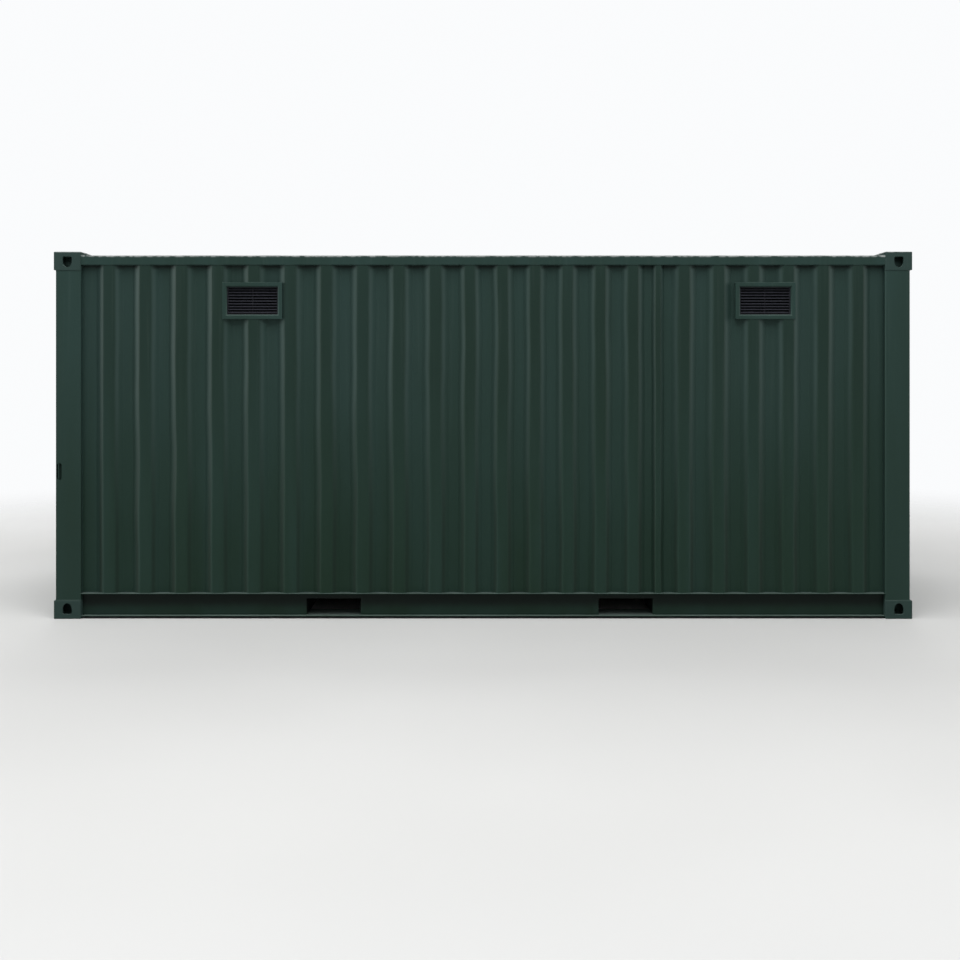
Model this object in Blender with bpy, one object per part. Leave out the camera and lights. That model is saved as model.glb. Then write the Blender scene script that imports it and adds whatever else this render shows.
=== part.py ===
"""Steel storage container used as an equipment garage: 20 ft long, double doors at the -X end.

Units are metres, +Z is up, and the origin is on the ground at the middle of the plan.
X runs along the length, and Y across it. The side that faces -Y is called near, the other far.
Two measures recur: "in from the end" counts from the end plane of the corner castings towards the
middle along X, and "in from the side" counts from their side plane towards the middle along Y.
"""

import math

import bmesh
import bpy
from mathutils import Matrix, Vector

# Overall sizes, as the freight container standard gives them
OUTER_LENGTH = 6.058
OUTER_WIDTH = 2.438
OUTER_HEIGHT = 2.591

# Clearances
TOUCH = 0.0003          # between two pieces that are welded or seated face to face
OVERRUN = 0.02          # how far a cutter runs past what it cuts
BITE = 0.003            # how far a welded-on detail reaches into the piece that carries it

# Corner castings
CASTING_X = 0.190
CASTING_Y = 0.162
CASTING_Z = 0.130
CASTING_WALL = 0.016
CASTING_PLATE = 0.028   # the thick plate with the lock slot
LOCK_SLOT_LENGTH = 0.124
LOCK_SLOT_WIDTH = 0.0635
SHIELD_WIDTH = 0.0650
SHIELD_HEIGHT = 0.0795
HOLE_RISE = 0.007       # middle of the side and end holes beyond the casting's mid height
SHIELD_STRAIGHT_SHARE = 0.52   # share of the shield's height before its sides curve to the point
END_SLOT_WIDTH = 0.051
END_SLOT_HEIGHT = 0.0795

# Corner posts
POST_IN = 0.015         # the post stands back from the casting's end plane
POST_SIDE_IN = 0.004    # and from its side plane
FRONT_POST_WALL = 0.006
FRONT_POST_LIP = 0.050
FRONT_POST_BEND = 0.014
DOOR_POST_FLANGE = 0.012
DOOR_POST_WALL = 0.008
HINGE_POCKET_FLOOR = 0.072     # in from the end
JAMB_SIDE_IN = 0.050           # face beside the door leaf's edge, in from the side
STOP_IN = 0.130                # face behind the leaf, in from the end
STOP_SIDE_IN = 0.110
TIE_SLOT_IN = 0.020            # slot for tying the open door back, in from the end
TIE_SLOT_WIDTH = 0.036
TIE_SLOT_LOW = 0.978
TIE_SLOT_HEIGHT = 0.122
TIE_POCKET_DEPTH = 0.018       # closed pocket behind the slot
TIE_POCKET_WALL = 0.003

# Bottom side rails and the underframe
RAIL_BASE = 0.0165
BOTTOM_RAIL_HEIGHT = 0.162
BOTTOM_RAIL_TOP_FLANGE = 0.048
BOTTOM_RAIL_LOW_FLANGE = 0.044
BOTTOM_RAIL_WALL = 0.0045
CROSS_BASE = 0.018
CROSS_DEPTH = 0.122
CROSS_FLANGE = 0.045
CROSS_WALL = 0.004
CROSS_PITCH = 0.305
CENTRE_STRIP_WIDTH = 0.075
CENTRE_STRIP_WALL = 0.004
STRIP_OVERLAP = 0.0007
POCKET_SPACING = 2.070
POCKET_MIDDLE_X = -0.024        # the pair stands a little towards the doors
POCKET_WIDTH = 0.384
POCKET_HEIGHT = 0.115
POCKET_TOP_WALL = 0.003
POCKET_STRAP_WALL = 0.006
POCKET_STRAP_LENGTH = 0.200
FLOOR_THICKNESS = 0.028

# Top side rails and headers
TOP_RAIL_SIDE = 0.060
TOP_RAIL_WALL = 0.003
TOP_RAIL_SIDE_IN = 0.006
TOP_RAIL_DROP = 0.032          # top of the rail below the top of the castings
CORNER_PLATE_GAP = 0.004       # free space between the sloping plate and the last rib of the roof
CORNER_PLATE_WALL = 0.004
CORNER_PLATE_CHEEK = 0.010     # width of the closed side of the plate, on top of the rail
HEADER_PLATE = 0.004
FRONT_SILL_DEPTH = 0.060
FRONT_BEAM_IN = 0.012
DOOR_HEADER_DROP = 0.016
BEAM_FACE_IN = 0.062           # front face of the door header and the door sill
BEAM_WALL = 0.005
HEADER_STOP = 0.030            # how far the header's stop hangs below the castings
SILL_DEPTH = 0.1235            # face of the sill under the leaves
SILL_STOP = 0.028

# Side walls: pressed sheets, welded side by side, named from the door end to the front end
SHEET = 0.002
CREST_SIDE_IN = 0.010
SIDE_DEPTH = 0.036
SIDE_MARGIN = 0.065            # flat strip at each end of the wall
SIDE_SHEET_SHARES = (0.462, 0.250, 0.022, 0.266)    # widths of the sheets, the third a closing strip
SIDE_SHEET_FOLDS = (10, 6, 1, 6)                    # outward folds of each
SIDE_CREST_SHARE = 0.27        # flat of a fold, as a share of its sheet's pitch
SIDE_SLOPE_SHARE = 0.235       # and each of the two slopes beside it

# Front wall
FRONT_CREST_IN = 0.016
FRONT_DEPTH = 0.0456
FRONT_PITCH = 0.250
FRONT_CREST = 0.110
FRONT_SLOPE = 0.018

# Roof: stamped ribs across the width
ROOF_RIB_HEIGHT = 0.018
ROOF_PITCH = 0.2085
ROOF_RIB_TOP = 0.091
ROOF_RIB_SLOPE = 0.0135
ROOF_RIB_END_SLOPE = 0.060
ROOF_MARGIN_Y = 0.160          # flat strip beside the ribs, from the sheet's edge

# Vents
VENT_WIDTH = 0.423
VENT_HEIGHT = 0.258
VENT_BORDER = 0.032
VENT_PROUD = 0.004
VENT_BACK = 0.006              # how far the frame stands inside the wall
VENT_CHAMFER = 0.008
VENT_DROP = 0.346              # middle of the vents below the top of the castings
LEFT_VENT_X = -1.630
RIGHT_VENT_X = 1.995
GRILLE_RECESS = 0.018
GRILLE_DEPTH = 0.022
GRILLE_RIM = 0.006
SLAT_PITCH = 0.020
SLAT_WALL = 0.0025
SLAT_DROP = 0.010
MULLION_WIDTH = 0.004
MULLION_SETBACK = 0.006        # front of the upright bar behind the front of the slats

# Door leaves
LEAF_OUT_IN = 0.068            # outer face of a leaf, in from the end
LEAF_THICKNESS = 0.050
LEAF_STILE = 0.100
LEAF_RAIL = 0.150
GASKET = 0.012
GASKET_IN = 0.076
GASKET_BACK = 0.002            # free space between the gasket and the stop
PANEL_SHEET = 0.003
PANEL_PITCH = 0.280
PANEL_CREST = 0.072
PANEL_SLOPE = 0.068
PANEL_DEPTH = 0.036
PANEL_IN = 0.002               # the panel's outer face behind the leaf's
PANEL_BITE = 0.010

# Hinges
HINGE_SHARES = (0.08, 0.33, 0.67, 0.92)    # places of the hinges, as shares of a leaf's height
HINGE_PIN_IN = 0.034
HINGE_PIN_SIDE_IN = 0.033
HINGE_PIN_RADIUS = 0.006
HINGE_BORE_GAP = 0.0006
HINGE_KNUCKLE_RADIUS = 0.012
HINGE_KNUCKLE_HEIGHT = 0.060
HINGE_LUG = 0.012
HINGE_LUG_GAP = 0.001
HINGE_BLADE = 0.010
HINGE_BLADE_REACH = 0.150      # end of the blade, in from the side

# Locking gear
BAR_IN = 0.036
BAR_RADIUS = 0.017
BAR_SIDES = 12
BAR_SHARES = (0.24, 0.76)      # places of a leaf's two bars, as shares of its width
BARS = 4
CAM_THICKNESS = 0.022
CAM_RADIUS = 0.021
CAM_NOSE = 0.050
CAM_NOSE_IN = 0.031
CAM_NOSE_BACK = 0.052
CAM_INSET = 0.020              # end of the cam from the leaf opening's edge
KEEPER_HEIGHT = 0.050
KEEPER_WALL = 0.009
KEEPER_LIP_IN = 0.018
KEEPER_GAP = 0.003
BRACKET_HEIGHT = 0.040
BRACKET_WALL = 0.006
BRACKET_FOOT = 0.022
BRACKET_GAP = 0.0008
BRACKET_ROWS = (-3, 1)         # outward folds of the panel that carry a bracket, from the middle one
HANDLE_ROWS = (-2, -1)         # and those that carry the catches of the two handles
HANDLE_LENGTH = 0.430          # from the bar's axis to the free end
HANDLE_WIDTH = 0.030
HANDLE_GRIP_WIDTH = 0.024
HANDLE_GRIP_SHARE = 0.45       # share of the handle that is narrowed to the grip
HANDLE_WALL = 0.010
HUB_RADIUS = 0.026
HUB_HEIGHT = 0.046
HUB_CHEEK = 0.006              # the two plates of a hub that hold the handle between them
HUB_REACH = 0.070              # end of the cheeks, from the bar's axis
HANDLE_PIN_REACH = 0.050       # the pin through the handle's root, from the bar's axis
HANDLE_PIN_RADIUS = 0.007
HANDLE_ROOT_GAP = 0.003        # between the handle's root and the hub's ring
CATCH_LENGTH = 0.040
CATCH_WALL = 0.005

BARE_METAL_SHARE = 0.9         # metallic value of the unpainted steel

ARC_STEP = math.radians(30)

# Sizes worked out from the values above
END = OUTER_LENGTH / 2
SIDE = OUTER_WIDTH / 2
BOTTOM_RAIL_TOP = RAIL_BASE + BOTTOM_RAIL_HEIGHT
TOP_RAIL_TOP = OUTER_HEIGHT - TOP_RAIL_DROP
TOP_RAIL_BASE = TOP_RAIL_TOP - TOP_RAIL_SIDE
ROOF_TOP = TOP_RAIL_TOP + TOUCH + SHEET    # upper face of the roof sheet between its ribs
POST_LOW = CASTING_Z + TOUCH
POST_HIGH = OUTER_HEIGHT - CASTING_Z - TOUCH
RAIL_HALF = END - CASTING_X - TOUCH
POCKET_BASE = RAIL_BASE + BOTTOM_RAIL_WALL
POCKET_CEILING = POCKET_BASE + POCKET_HEIGHT
WEB_SIDE_IN = POST_SIDE_IN + BOTTOM_RAIL_TOP_FLANGE
BEAM_BACK_IN = CASTING_X
CROSS_TOP = CROSS_BASE + CROSS_DEPTH
FLOOR_BASE = CROSS_TOP + TOUCH
STRIP_BASE = CROSS_TOP - STRIP_OVERLAP
STRIP_TOP = STRIP_BASE + CENTRE_STRIP_WALL
DOOR_HEADER_TOP = OUTER_HEIGHT - DOOR_HEADER_DROP
LEAF_HEAD = OUTER_HEIGHT - CASTING_Z
LEAF_FOOT = RAIL_BASE + SILL_DEPTH
LEAF_TOP = LEAF_HEAD - GASKET
LEAF_BASE = LEAF_FOOT + GASKET
LEAF_HINGE_Y = SIDE - JAMB_SIDE_IN - GASKET
LEAF_MEET_Y = GASKET
LEAF_BACK_IN = LEAF_OUT_IN + LEAF_THICKNESS
LEAF_MIDDLE_Z = (LEAF_BASE + LEAF_TOP) / 2
PANEL_BACK_IN = LEAF_OUT_IN + PANEL_IN + PANEL_SHEET / 2
PANEL_BASE = LEAF_BASE + LEAF_RAIL
PANEL_TOP = LEAF_TOP - LEAF_RAIL
PANEL_TROUGHS = int((PANEL_TOP - PANEL_BASE) / PANEL_PITCH)
HINGE_ZS = tuple(LEAF_BASE + share * (LEAF_TOP - LEAF_BASE) for share in HINGE_SHARES)
SHEETS_LENGTH = 2 * (RAIL_HALF - SIDE_MARGIN)
FRONT_HALF = SIDE - CASTING_Y - TOUCH
FRONT_CRESTS = int(2 * FRONT_HALF / FRONT_PITCH)
ROOF_RIBS = int(2 * RAIL_HALF / ROOF_PITCH)
ROOF_RIB_END = (ROOF_RIBS - 1) / 2 * ROOF_PITCH + ROOF_RIB_TOP / 2 + ROOF_RIB_SLOPE
HEADER_CAM_Z = LEAF_HEAD + CAM_INSET + CAM_THICKNESS / 2
SILL_CAM_Z = LEAF_FOOT - CAM_INSET - CAM_THICKNESS / 2
VENT_Z = OUTER_HEIGHT - VENT_DROP
VENT_XS = (LEFT_VENT_X, RIGHT_VENT_X)


def clear_scene():
    for old in list(bpy.data.objects):
        bpy.data.objects.remove(old, do_unlink=True)


def paint(name, colour, roughness, metallic=0.0):
    """A plain material with the colour, roughness and metallic value of one finish."""
    made = bpy.data.materials.new(name)
    made.use_nodes = True
    shader = made.node_tree.nodes["Principled BSDF"]
    shader.inputs["Base Color"].default_value = (*colour, 1.0)
    shader.inputs["Roughness"].default_value = roughness
    shader.inputs["Metallic"].default_value = metallic
    return made


def new_object(name, bm, finish=None):
    """Turns a bmesh into a named object in the scene."""
    bmesh.ops.recalc_face_normals(bm, faces=bm.faces)
    mesh = bpy.data.meshes.new(name)
    bm.to_mesh(mesh)
    bm.free()
    made = bpy.data.objects.new(name, mesh)
    bpy.context.scene.collection.objects.link(made)
    if finish:
        mesh.materials.append(finish)
    return made


def placed(axis, along, first, second):
    """A point from its place along an axis and the two other coordinates, in X, Y, Z order."""
    point = {
        "X": (along, first, second),
        "Y": (first, along, second),
        "Z": (first, second, along),
    }
    return point[axis]


def prism(name, outline, axis, low, high, finish=None):
    """Extrudes a closed outline along an axis. The outline holds the two other coordinates."""
    bm = bmesh.new()
    face = bm.faces.new([bm.verts.new(placed(axis, low, *point)) for point in outline])
    swept = bmesh.ops.extrude_face_region(bm, geom=[face])
    moved = [item for item in swept["geom"] if isinstance(item, bmesh.types.BMVert)]
    bmesh.ops.translate(bm, vec=placed(axis, high - low, 0, 0), verts=moved)
    return new_object(name, bm, finish)


def block(name, low, high, finish=None):
    """A box between two corners."""
    outline = rectangle(low[0], high[0], low[1], high[1])
    return prism(name, outline, "Z", low[2], high[2], finish)


def rectangle(low_1, high_1, low_2, high_2):
    return [(low_1, low_2), (high_1, low_2), (high_1, high_2), (low_1, high_2)]


def arc(centre, radius, start, end):
    """Points on an arc, from one angle to another, both included."""
    steps = max(1, round(abs(end - start) / ARC_STEP))
    turns = [start + (end - start) * step / steps for step in range(steps + 1)]
    return [(centre[0] + radius * math.cos(a), centre[1] + radius * math.sin(a)) for a in turns]


def circle(centre, radius, sides=BAR_SIDES):
    turns = [2 * math.pi * (side + 0.5) / sides for side in range(sides)]
    return [(centre[0] + radius * math.cos(a), centre[1] + radius * math.sin(a)) for a in turns]


def slot(centre, length, width, upright=False):
    """A slot with round ends, lying along the first coordinate, or along the second if upright."""
    reach = (length - width) / 2
    right = arc((reach, 0), width / 2, -math.pi / 2, math.pi / 2)
    left = arc((-reach, 0), width / 2, math.pi / 2, 3 * math.pi / 2)
    points = right + left
    if upright:
        points = [(-v, u) for u, v in points]
    return [(centre[0] + u, centre[1] + v) for u, v in points]


def chamfered(points, cut):
    """An open line with each inner corner cut off at a distance from the corner."""
    made = [points[0]]
    for before, corner, after in zip(points, points[1:], points[2:]):
        here = Vector(corner)
        made.append(tuple(here + (Vector(before) - here).normalized() * cut))
        made.append(tuple(here + (Vector(after) - here).normalized() * cut))
    return made + [points[-1]]


def sheet_outline(line, thickness):
    """The closed outline of a sheet: a line on one face, and its offset to the left of its way."""
    points = [Vector(point) for point in line]
    normals = []
    for here, there in zip(points, points[1:]):
        way = (there - here).normalized()
        normals.append(Vector((-way.y, way.x)))
    offset = []
    for index, point in enumerate(points):
        before = normals[max(index - 1, 0)]
        after = normals[min(index, len(normals) - 1)]
        middle = (before + after).normalized()
        offset.append(tuple(point + middle * thickness / middle.dot(before)))
    return list(line) + offset[::-1]


def hide(cutter):
    cutter.hide_render = True
    cutter.display_type = "WIRE"


def combine(target, other, operation):
    """Adds a Boolean to the target. The other object becomes a hidden helper."""
    step = target.modifiers.new(operation.title(), "BOOLEAN")
    step.operation = operation
    step.object = other
    hide(other)
    return target


def cut(target, *cutters):
    for cutter in cutters:
        combine(target, cutter, "DIFFERENCE")
    return target


def join(target, *others):
    for other in others:
        combine(target, other, "UNION")
    return target


def finished_mesh(source):
    """The mesh of an object with its modifiers worked out."""
    graph = bpy.context.evaluated_depsgraph_get()
    return bpy.data.meshes.new_from_object(source.evaluated_get(graph))


def mirrored(name, source, x=1, y=1, z=1):
    """A copy of a finished object, turned over in the planes whose factor is -1."""
    mesh = finished_mesh(source)
    mesh.transform(Matrix.Diagonal((x, y, z, 1)))
    if x * y * z < 0:
        mesh.flip_normals()
    made = bpy.data.objects.new(name, mesh)
    bpy.context.scene.collection.objects.link(made)
    return made


def from_end(distance):
    """X of a point at the door end, from its distance in from the end."""
    return -END + distance


def from_side(distance):
    """Y of a point at the near side, from its distance in from the side."""
    return -SIDE + distance


def shield(point_down):
    """The side hole of a casting: a flat end, straight sides and two arcs that meet in a point."""
    half = SHIELD_WIDTH / 2
    straight = SHIELD_HEIGHT * SHIELD_STRAIGHT_SHARE
    rise = SHIELD_HEIGHT - straight
    radius = (half ** 2 + rise ** 2) / (2 * half)
    sweep = math.asin(rise / radius)
    flat = -SHIELD_HEIGHT / 2
    shoulder = flat + straight
    right = arc((half - radius, shoulder), radius, 0, sweep)
    left = arc((radius - half, shoulder), radius, math.pi - sweep, math.pi)
    corner = SHIELD_WIDTH / 8
    foot = [(-half, flat + corner), (corner - half, flat), (half - corner, flat), (half, flat + corner)]
    points = foot + right + left[1:]
    return [(u, -v) if point_down else (u, v) for u, v in points]


def master_casting(finish):
    """The bottom casting of the near side at the door end: a thick-walled box with three holes."""
    x0, y0 = from_end(0), from_side(0)
    casting = block("casting_master", (x0, y0, 0), (x0 + CASTING_X, y0 + CASTING_Y, CASTING_Z), finish)
    hollow = block(
        "casting_hollow",
        (x0 + CASTING_WALL, y0 + CASTING_WALL, CASTING_PLATE),
        (x0 + CASTING_X - CASTING_WALL, y0 + CASTING_Y - CASTING_WALL, CASTING_Z - CASTING_WALL),
    )
    middle_x = x0 + CASTING_X / 2
    middle_y = y0 + CASTING_Y / 2
    hole_z = CASTING_Z / 2 + HOLE_RISE
    reach = CASTING_WALL + OVERRUN
    lock = prism(
        "casting_lock_slot",
        slot((middle_x, middle_y), LOCK_SLOT_LENGTH, LOCK_SLOT_WIDTH),
        "Z", -OVERRUN, CASTING_PLATE + OVERRUN,
    )
    outline = [(middle_x + u, hole_z + v) for u, v in shield(point_down=False)]
    side_hole = prism("casting_shield", outline, "Y", y0 - OVERRUN, y0 + reach)
    end_hole = prism(
        "casting_end_slot",
        slot((middle_y, hole_z), END_SLOT_HEIGHT, END_SLOT_WIDTH, upright=True),
        "X", x0 - OVERRUN, x0 + reach,
    )
    cut(casting, hollow, lock, side_hole, end_hole)
    return casting


def corner_castings(finish):
    master = master_casting(finish)
    for end, x in (("door", 1), ("front", -1)):
        for side, y in (("near", 1), ("far", -1)):
            mirrored(f"casting_bottom_{end}_{side}", master, x, y)
            raised = mirrored(f"casting_top_{end}_{side}", master, x, y, -1)
            raised.location.z = OUTER_HEIGHT
    hide(master)


def front_posts(finish):
    """Pressed plate, bent round the corner and lipped at both ends to take the walls."""
    wide = CASTING_X
    deep = CASTING_Y
    line = [
        (END - wide, from_side(POST_SIDE_IN + FRONT_POST_LIP)),
        (END - wide, from_side(POST_SIDE_IN)),
        (END - POST_IN, from_side(POST_SIDE_IN)),
        (END - POST_IN, from_side(deep)),
        (END - POST_IN - FRONT_POST_LIP, from_side(deep)),
    ]
    outline = sheet_outline(chamfered(line, FRONT_POST_BEND / 2), FRONT_POST_WALL)
    near = prism("front_post_near", outline, "Z", POST_LOW, POST_HIGH, finish)
    mirrored("front_post_far", near, y=-1)


def hinge_lugs(z):
    """Two lugs with the pin between them, for one hinge of the near post."""
    half = HINGE_KNUCKLE_HEIGHT / 2 + HINGE_LUG_GAP
    low_in = HINGE_PIN_IN - HINGE_KNUCKLE_RADIUS
    parts = []
    for base in (z - half - HINGE_LUG, z + half):
        parts.append(block(
            "hinge_lug",
            (from_end(low_in), from_side(POST_SIDE_IN + DOOR_POST_FLANGE - BITE), base),
            (from_end(HINGE_POCKET_FLOOR + BITE), from_side(HINGE_PIN_SIDE_IN + HINGE_KNUCKLE_RADIUS),
             base + HINGE_LUG),
        ))
    centre = (from_end(HINGE_PIN_IN), from_side(HINGE_PIN_SIDE_IN))
    reach = half + HINGE_LUG - BITE
    parts.append(prism("hinge_pin", circle(centre, HINGE_PIN_RADIUS), "Z", z - reach, z + reach))
    return parts


def door_posts(finish):
    """Rear post: a channel that holds the hinges, welded to a hollow section with the door stop."""
    end, side = from_end, from_side
    outline = [
        (end(POST_IN), side(POST_SIDE_IN)),
        (end(CASTING_X), side(POST_SIDE_IN)),
        (end(CASTING_X), side(STOP_SIDE_IN)),
        (end(STOP_IN), side(STOP_SIDE_IN)),
        (end(STOP_IN), side(JAMB_SIDE_IN)),
        (end(HINGE_POCKET_FLOOR), side(JAMB_SIDE_IN)),
        (end(HINGE_POCKET_FLOOR), side(POST_SIDE_IN + DOOR_POST_FLANGE)),
        (end(POST_IN), side(POST_SIDE_IN + DOOR_POST_FLANGE)),
    ]
    wall = DOOR_POST_WALL
    hollow = [
        (end(HINGE_POCKET_FLOOR + wall), side(POST_SIDE_IN + wall)),
        (end(CASTING_X - wall), side(POST_SIDE_IN + wall)),
        (end(CASTING_X - wall), side(STOP_SIDE_IN - wall)),
        (end(STOP_IN + wall), side(STOP_SIDE_IN - wall)),
        (end(STOP_IN + wall), side(JAMB_SIDE_IN - wall)),
        (end(HINGE_POCKET_FLOOR + wall), side(JAMB_SIDE_IN - wall)),
    ]
    near = prism("door_post_near", outline, "Z", POST_LOW, POST_HIGH, finish)
    cut(near, prism("door_post_hollow", hollow, "Z", POST_LOW - OVERRUN, POST_HIGH + OVERRUN))
    for z in HINGE_ZS:
        join(near, *hinge_lugs(z))
    tie_middle = TIE_SLOT_LOW + TIE_SLOT_HEIGHT / 2
    tie_outline = slot((end(TIE_SLOT_IN + TIE_SLOT_WIDTH / 2), tie_middle),
                       TIE_SLOT_HEIGHT, TIE_SLOT_WIDTH, upright=True)
    flange_back = side(POST_SIDE_IN + DOOR_POST_FLANGE)
    pocket_floor = flange_back + TIE_POCKET_DEPTH
    wall = TIE_POCKET_WALL
    join(near, block(
        "tie_pocket",
        (end(TIE_SLOT_IN - wall), flange_back - BITE, TIE_SLOT_LOW - wall),
        (end(TIE_SLOT_IN + TIE_SLOT_WIDTH + wall), pocket_floor, TIE_SLOT_LOW + TIE_SLOT_HEIGHT + wall),
    ))
    cut(near, prism("tie_slot", tie_outline, "Y", side(POST_SIDE_IN) - OVERRUN, pocket_floor - wall))
    rod_centre = (end(TIE_SLOT_IN + TIE_SLOT_WIDTH / 3), side(POST_SIDE_IN + DOOR_POST_FLANGE / 2))
    rod_reach = TIE_SLOT_HEIGHT / 2 + BITE
    rod = circle(rod_centre, DOOR_POST_FLANGE / 2 - BITE / 2)
    join(near, prism("tie_rod", rod, "Z", tie_middle - rod_reach, tie_middle + rod_reach))
    far = mirrored("door_post_far", near, y=-1)
    return near, far


def bottom_side_rails(finish):
    """Channels that lie open outwards, with the fork pockets cut through their webs."""
    side = from_side
    wall = BOTTOM_RAIL_WALL
    outline = [
        (side(POST_SIDE_IN), BOTTOM_RAIL_TOP),
        (side(POST_SIDE_IN), BOTTOM_RAIL_TOP - wall),
        (side(WEB_SIDE_IN - wall), BOTTOM_RAIL_TOP - wall),
        (side(WEB_SIDE_IN - wall), RAIL_BASE + wall),
        (side(WEB_SIDE_IN - BOTTOM_RAIL_LOW_FLANGE), RAIL_BASE + wall),
        (side(WEB_SIDE_IN - BOTTOM_RAIL_LOW_FLANGE), RAIL_BASE),
        (side(WEB_SIDE_IN), RAIL_BASE),
        (side(WEB_SIDE_IN), BOTTOM_RAIL_TOP),
    ]
    near = prism("bottom_side_rail_near", outline, "X", -RAIL_HALF, RAIL_HALF, finish)
    for x in pocket_places():
        cut(near, block(
            "pocket_mouth",
            (x - POCKET_WIDTH / 2, side(WEB_SIDE_IN - wall) - OVERRUN / 2, POCKET_BASE),
            (x + POCKET_WIDTH / 2, side(WEB_SIDE_IN) + OVERRUN, POCKET_CEILING),
        ))
    mirrored("bottom_side_rail_far", near, y=-1)


def pocket_places():
    return (POCKET_MIDDLE_X - POCKET_SPACING / 2, POCKET_MIDDLE_X + POCKET_SPACING / 2)


def fork_pockets(finish):
    """Tunnels for fork tines: a cap between two channels, with a strap below each mouth."""
    half = POCKET_WIDTH / 2
    web = half + CROSS_WALL
    foot = half + CROSS_FLANGE
    top = POCKET_CEILING + POCKET_TOP_WALL
    right = [
        (foot, top), (foot, top - CROSS_WALL), (web, top - CROSS_WALL), (web, CROSS_BASE + CROSS_WALL),
        (foot, CROSS_BASE + CROSS_WALL), (foot, CROSS_BASE), (half, CROSS_BASE), (half, POCKET_CEILING),
    ]
    profile = right + [(-u, v) for u, v in right[::-1]]
    reach = SIDE - WEB_SIDE_IN - TOUCH
    for name, x in zip(("fork_pocket_left", "fork_pocket_right"), pocket_places()):
        pocket = prism(name, [(x + u, v) for u, v in profile], "Y", -reach, reach, finish)
        for low in (-reach, reach - POCKET_STRAP_LENGTH):
            join(pocket, block(
                "pocket_strap",
                (x - web, low, POCKET_BASE - POCKET_STRAP_WALL),
                (x + web, low + POCKET_STRAP_LENGTH, POCKET_BASE),
            ))


def cross_places():
    """Places of the crossmembers along the length, leaving out those that a fork pocket replaces."""
    count = int((RAIL_HALF - CROSS_FLANGE) / CROSS_PITCH)
    keep_off = POCKET_WIDTH / 2 + CROSS_FLANGE * 2
    rows = [CROSS_PITCH * step for step in range(-count, count + 1)]
    return [x for x in rows if all(abs(x - pocket) > keep_off for pocket in pocket_places())]


def crossmembers(finish):
    """Channels from rail to rail, tied by the strip that runs down the middle under the floor."""
    reach = SIDE - WEB_SIDE_IN - TOUCH
    places = cross_places()
    strip_half = CENTRE_STRIP_WIDTH / 2
    strip = block(
        "floor_crossmembers",
        (places[0], -strip_half, STRIP_BASE),
        (places[-1] + CROSS_FLANGE, strip_half, STRIP_TOP),
        finish,
    )
    wall = CROSS_WALL
    profile = [
        (0, CROSS_BASE), (CROSS_FLANGE, CROSS_BASE),
        (CROSS_FLANGE, CROSS_BASE + wall), (wall, CROSS_BASE + wall),
        (wall, CROSS_TOP - wall), (CROSS_FLANGE, CROSS_TOP - wall),
        (CROSS_FLANGE, CROSS_TOP), (0, CROSS_TOP),
    ]
    for x in places:
        join(strip, prism("crossmember", [(x + u, v) for u, v in profile], "Y", -reach, reach))


def floor_deck(finish):
    """Plywood boards on the crossmembers, grooved below for the strip, butting the two end sills."""
    reach = SIDE - WEB_SIDE_IN - TOUCH
    groove = CENTRE_STRIP_WIDTH / 2 + TOUCH
    low, roof_of_groove, high = FLOOR_BASE, STRIP_TOP + TOUCH, FLOOR_BASE + FLOOR_THICKNESS
    outline = [
        (-reach, low), (-groove, low), (-groove, roof_of_groove), (groove, roof_of_groove),
        (groove, low), (reach, low), (reach, high), (-reach, high),
    ]
    prism("floor_deck", outline, "X", from_end(BEAM_BACK_IN) + TOUCH, RAIL_HALF, finish)


def top_side_rails(finish):
    """Square tubes, with a sloping gusset at each end that leads up to the casting."""
    low, high = from_side(TOP_RAIL_SIDE_IN), from_side(TOP_RAIL_SIDE_IN + TOP_RAIL_SIDE)
    near = prism(
        "top_side_rail_near",
        rectangle(low, high, TOP_RAIL_BASE, TOP_RAIL_TOP),
        "X", -RAIL_HALF, RAIL_HALF, finish,
    )
    wall = TOP_RAIL_WALL
    cut(near, prism(
        "top_rail_bore",
        rectangle(low + wall, high - wall, TOP_RAIL_BASE + wall, TOP_RAIL_TOP - wall),
        "X", -RAIL_HALF - OVERRUN, RAIL_HALF + OVERRUN,
    ))
    for way in (-1, 1):
        join(near, *corner_plate(way, low))
    mirrored("top_side_rail_far", near, y=-1)


def corner_plate(way, outside):
    """Plate that slopes from a top casting down to the roof, with its closed side on the rail."""
    rise = OUTER_HEIGHT - BITE
    foot = way * (ROOF_RIB_END + CORNER_PLATE_GAP)
    end = way * RAIL_HALF
    seat = TOP_RAIL_TOP - TOP_RAIL_WALL / 2
    under = ROOF_TOP + TOUCH
    over = under + CORNER_PLATE_WALL
    slope = [(foot, under), (end, rise - CORNER_PLATE_WALL), (end, rise), (foot, over)]
    cheek = [(foot, seat), (end, seat), (end, rise), (foot, over)]
    return (
        prism("corner_plate_slope", slope, "Y", outside, from_side(CASTING_Y)),
        prism("corner_plate_cheek", cheek, "Y", outside, outside + CORNER_PLATE_CHEEK),
    )


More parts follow.
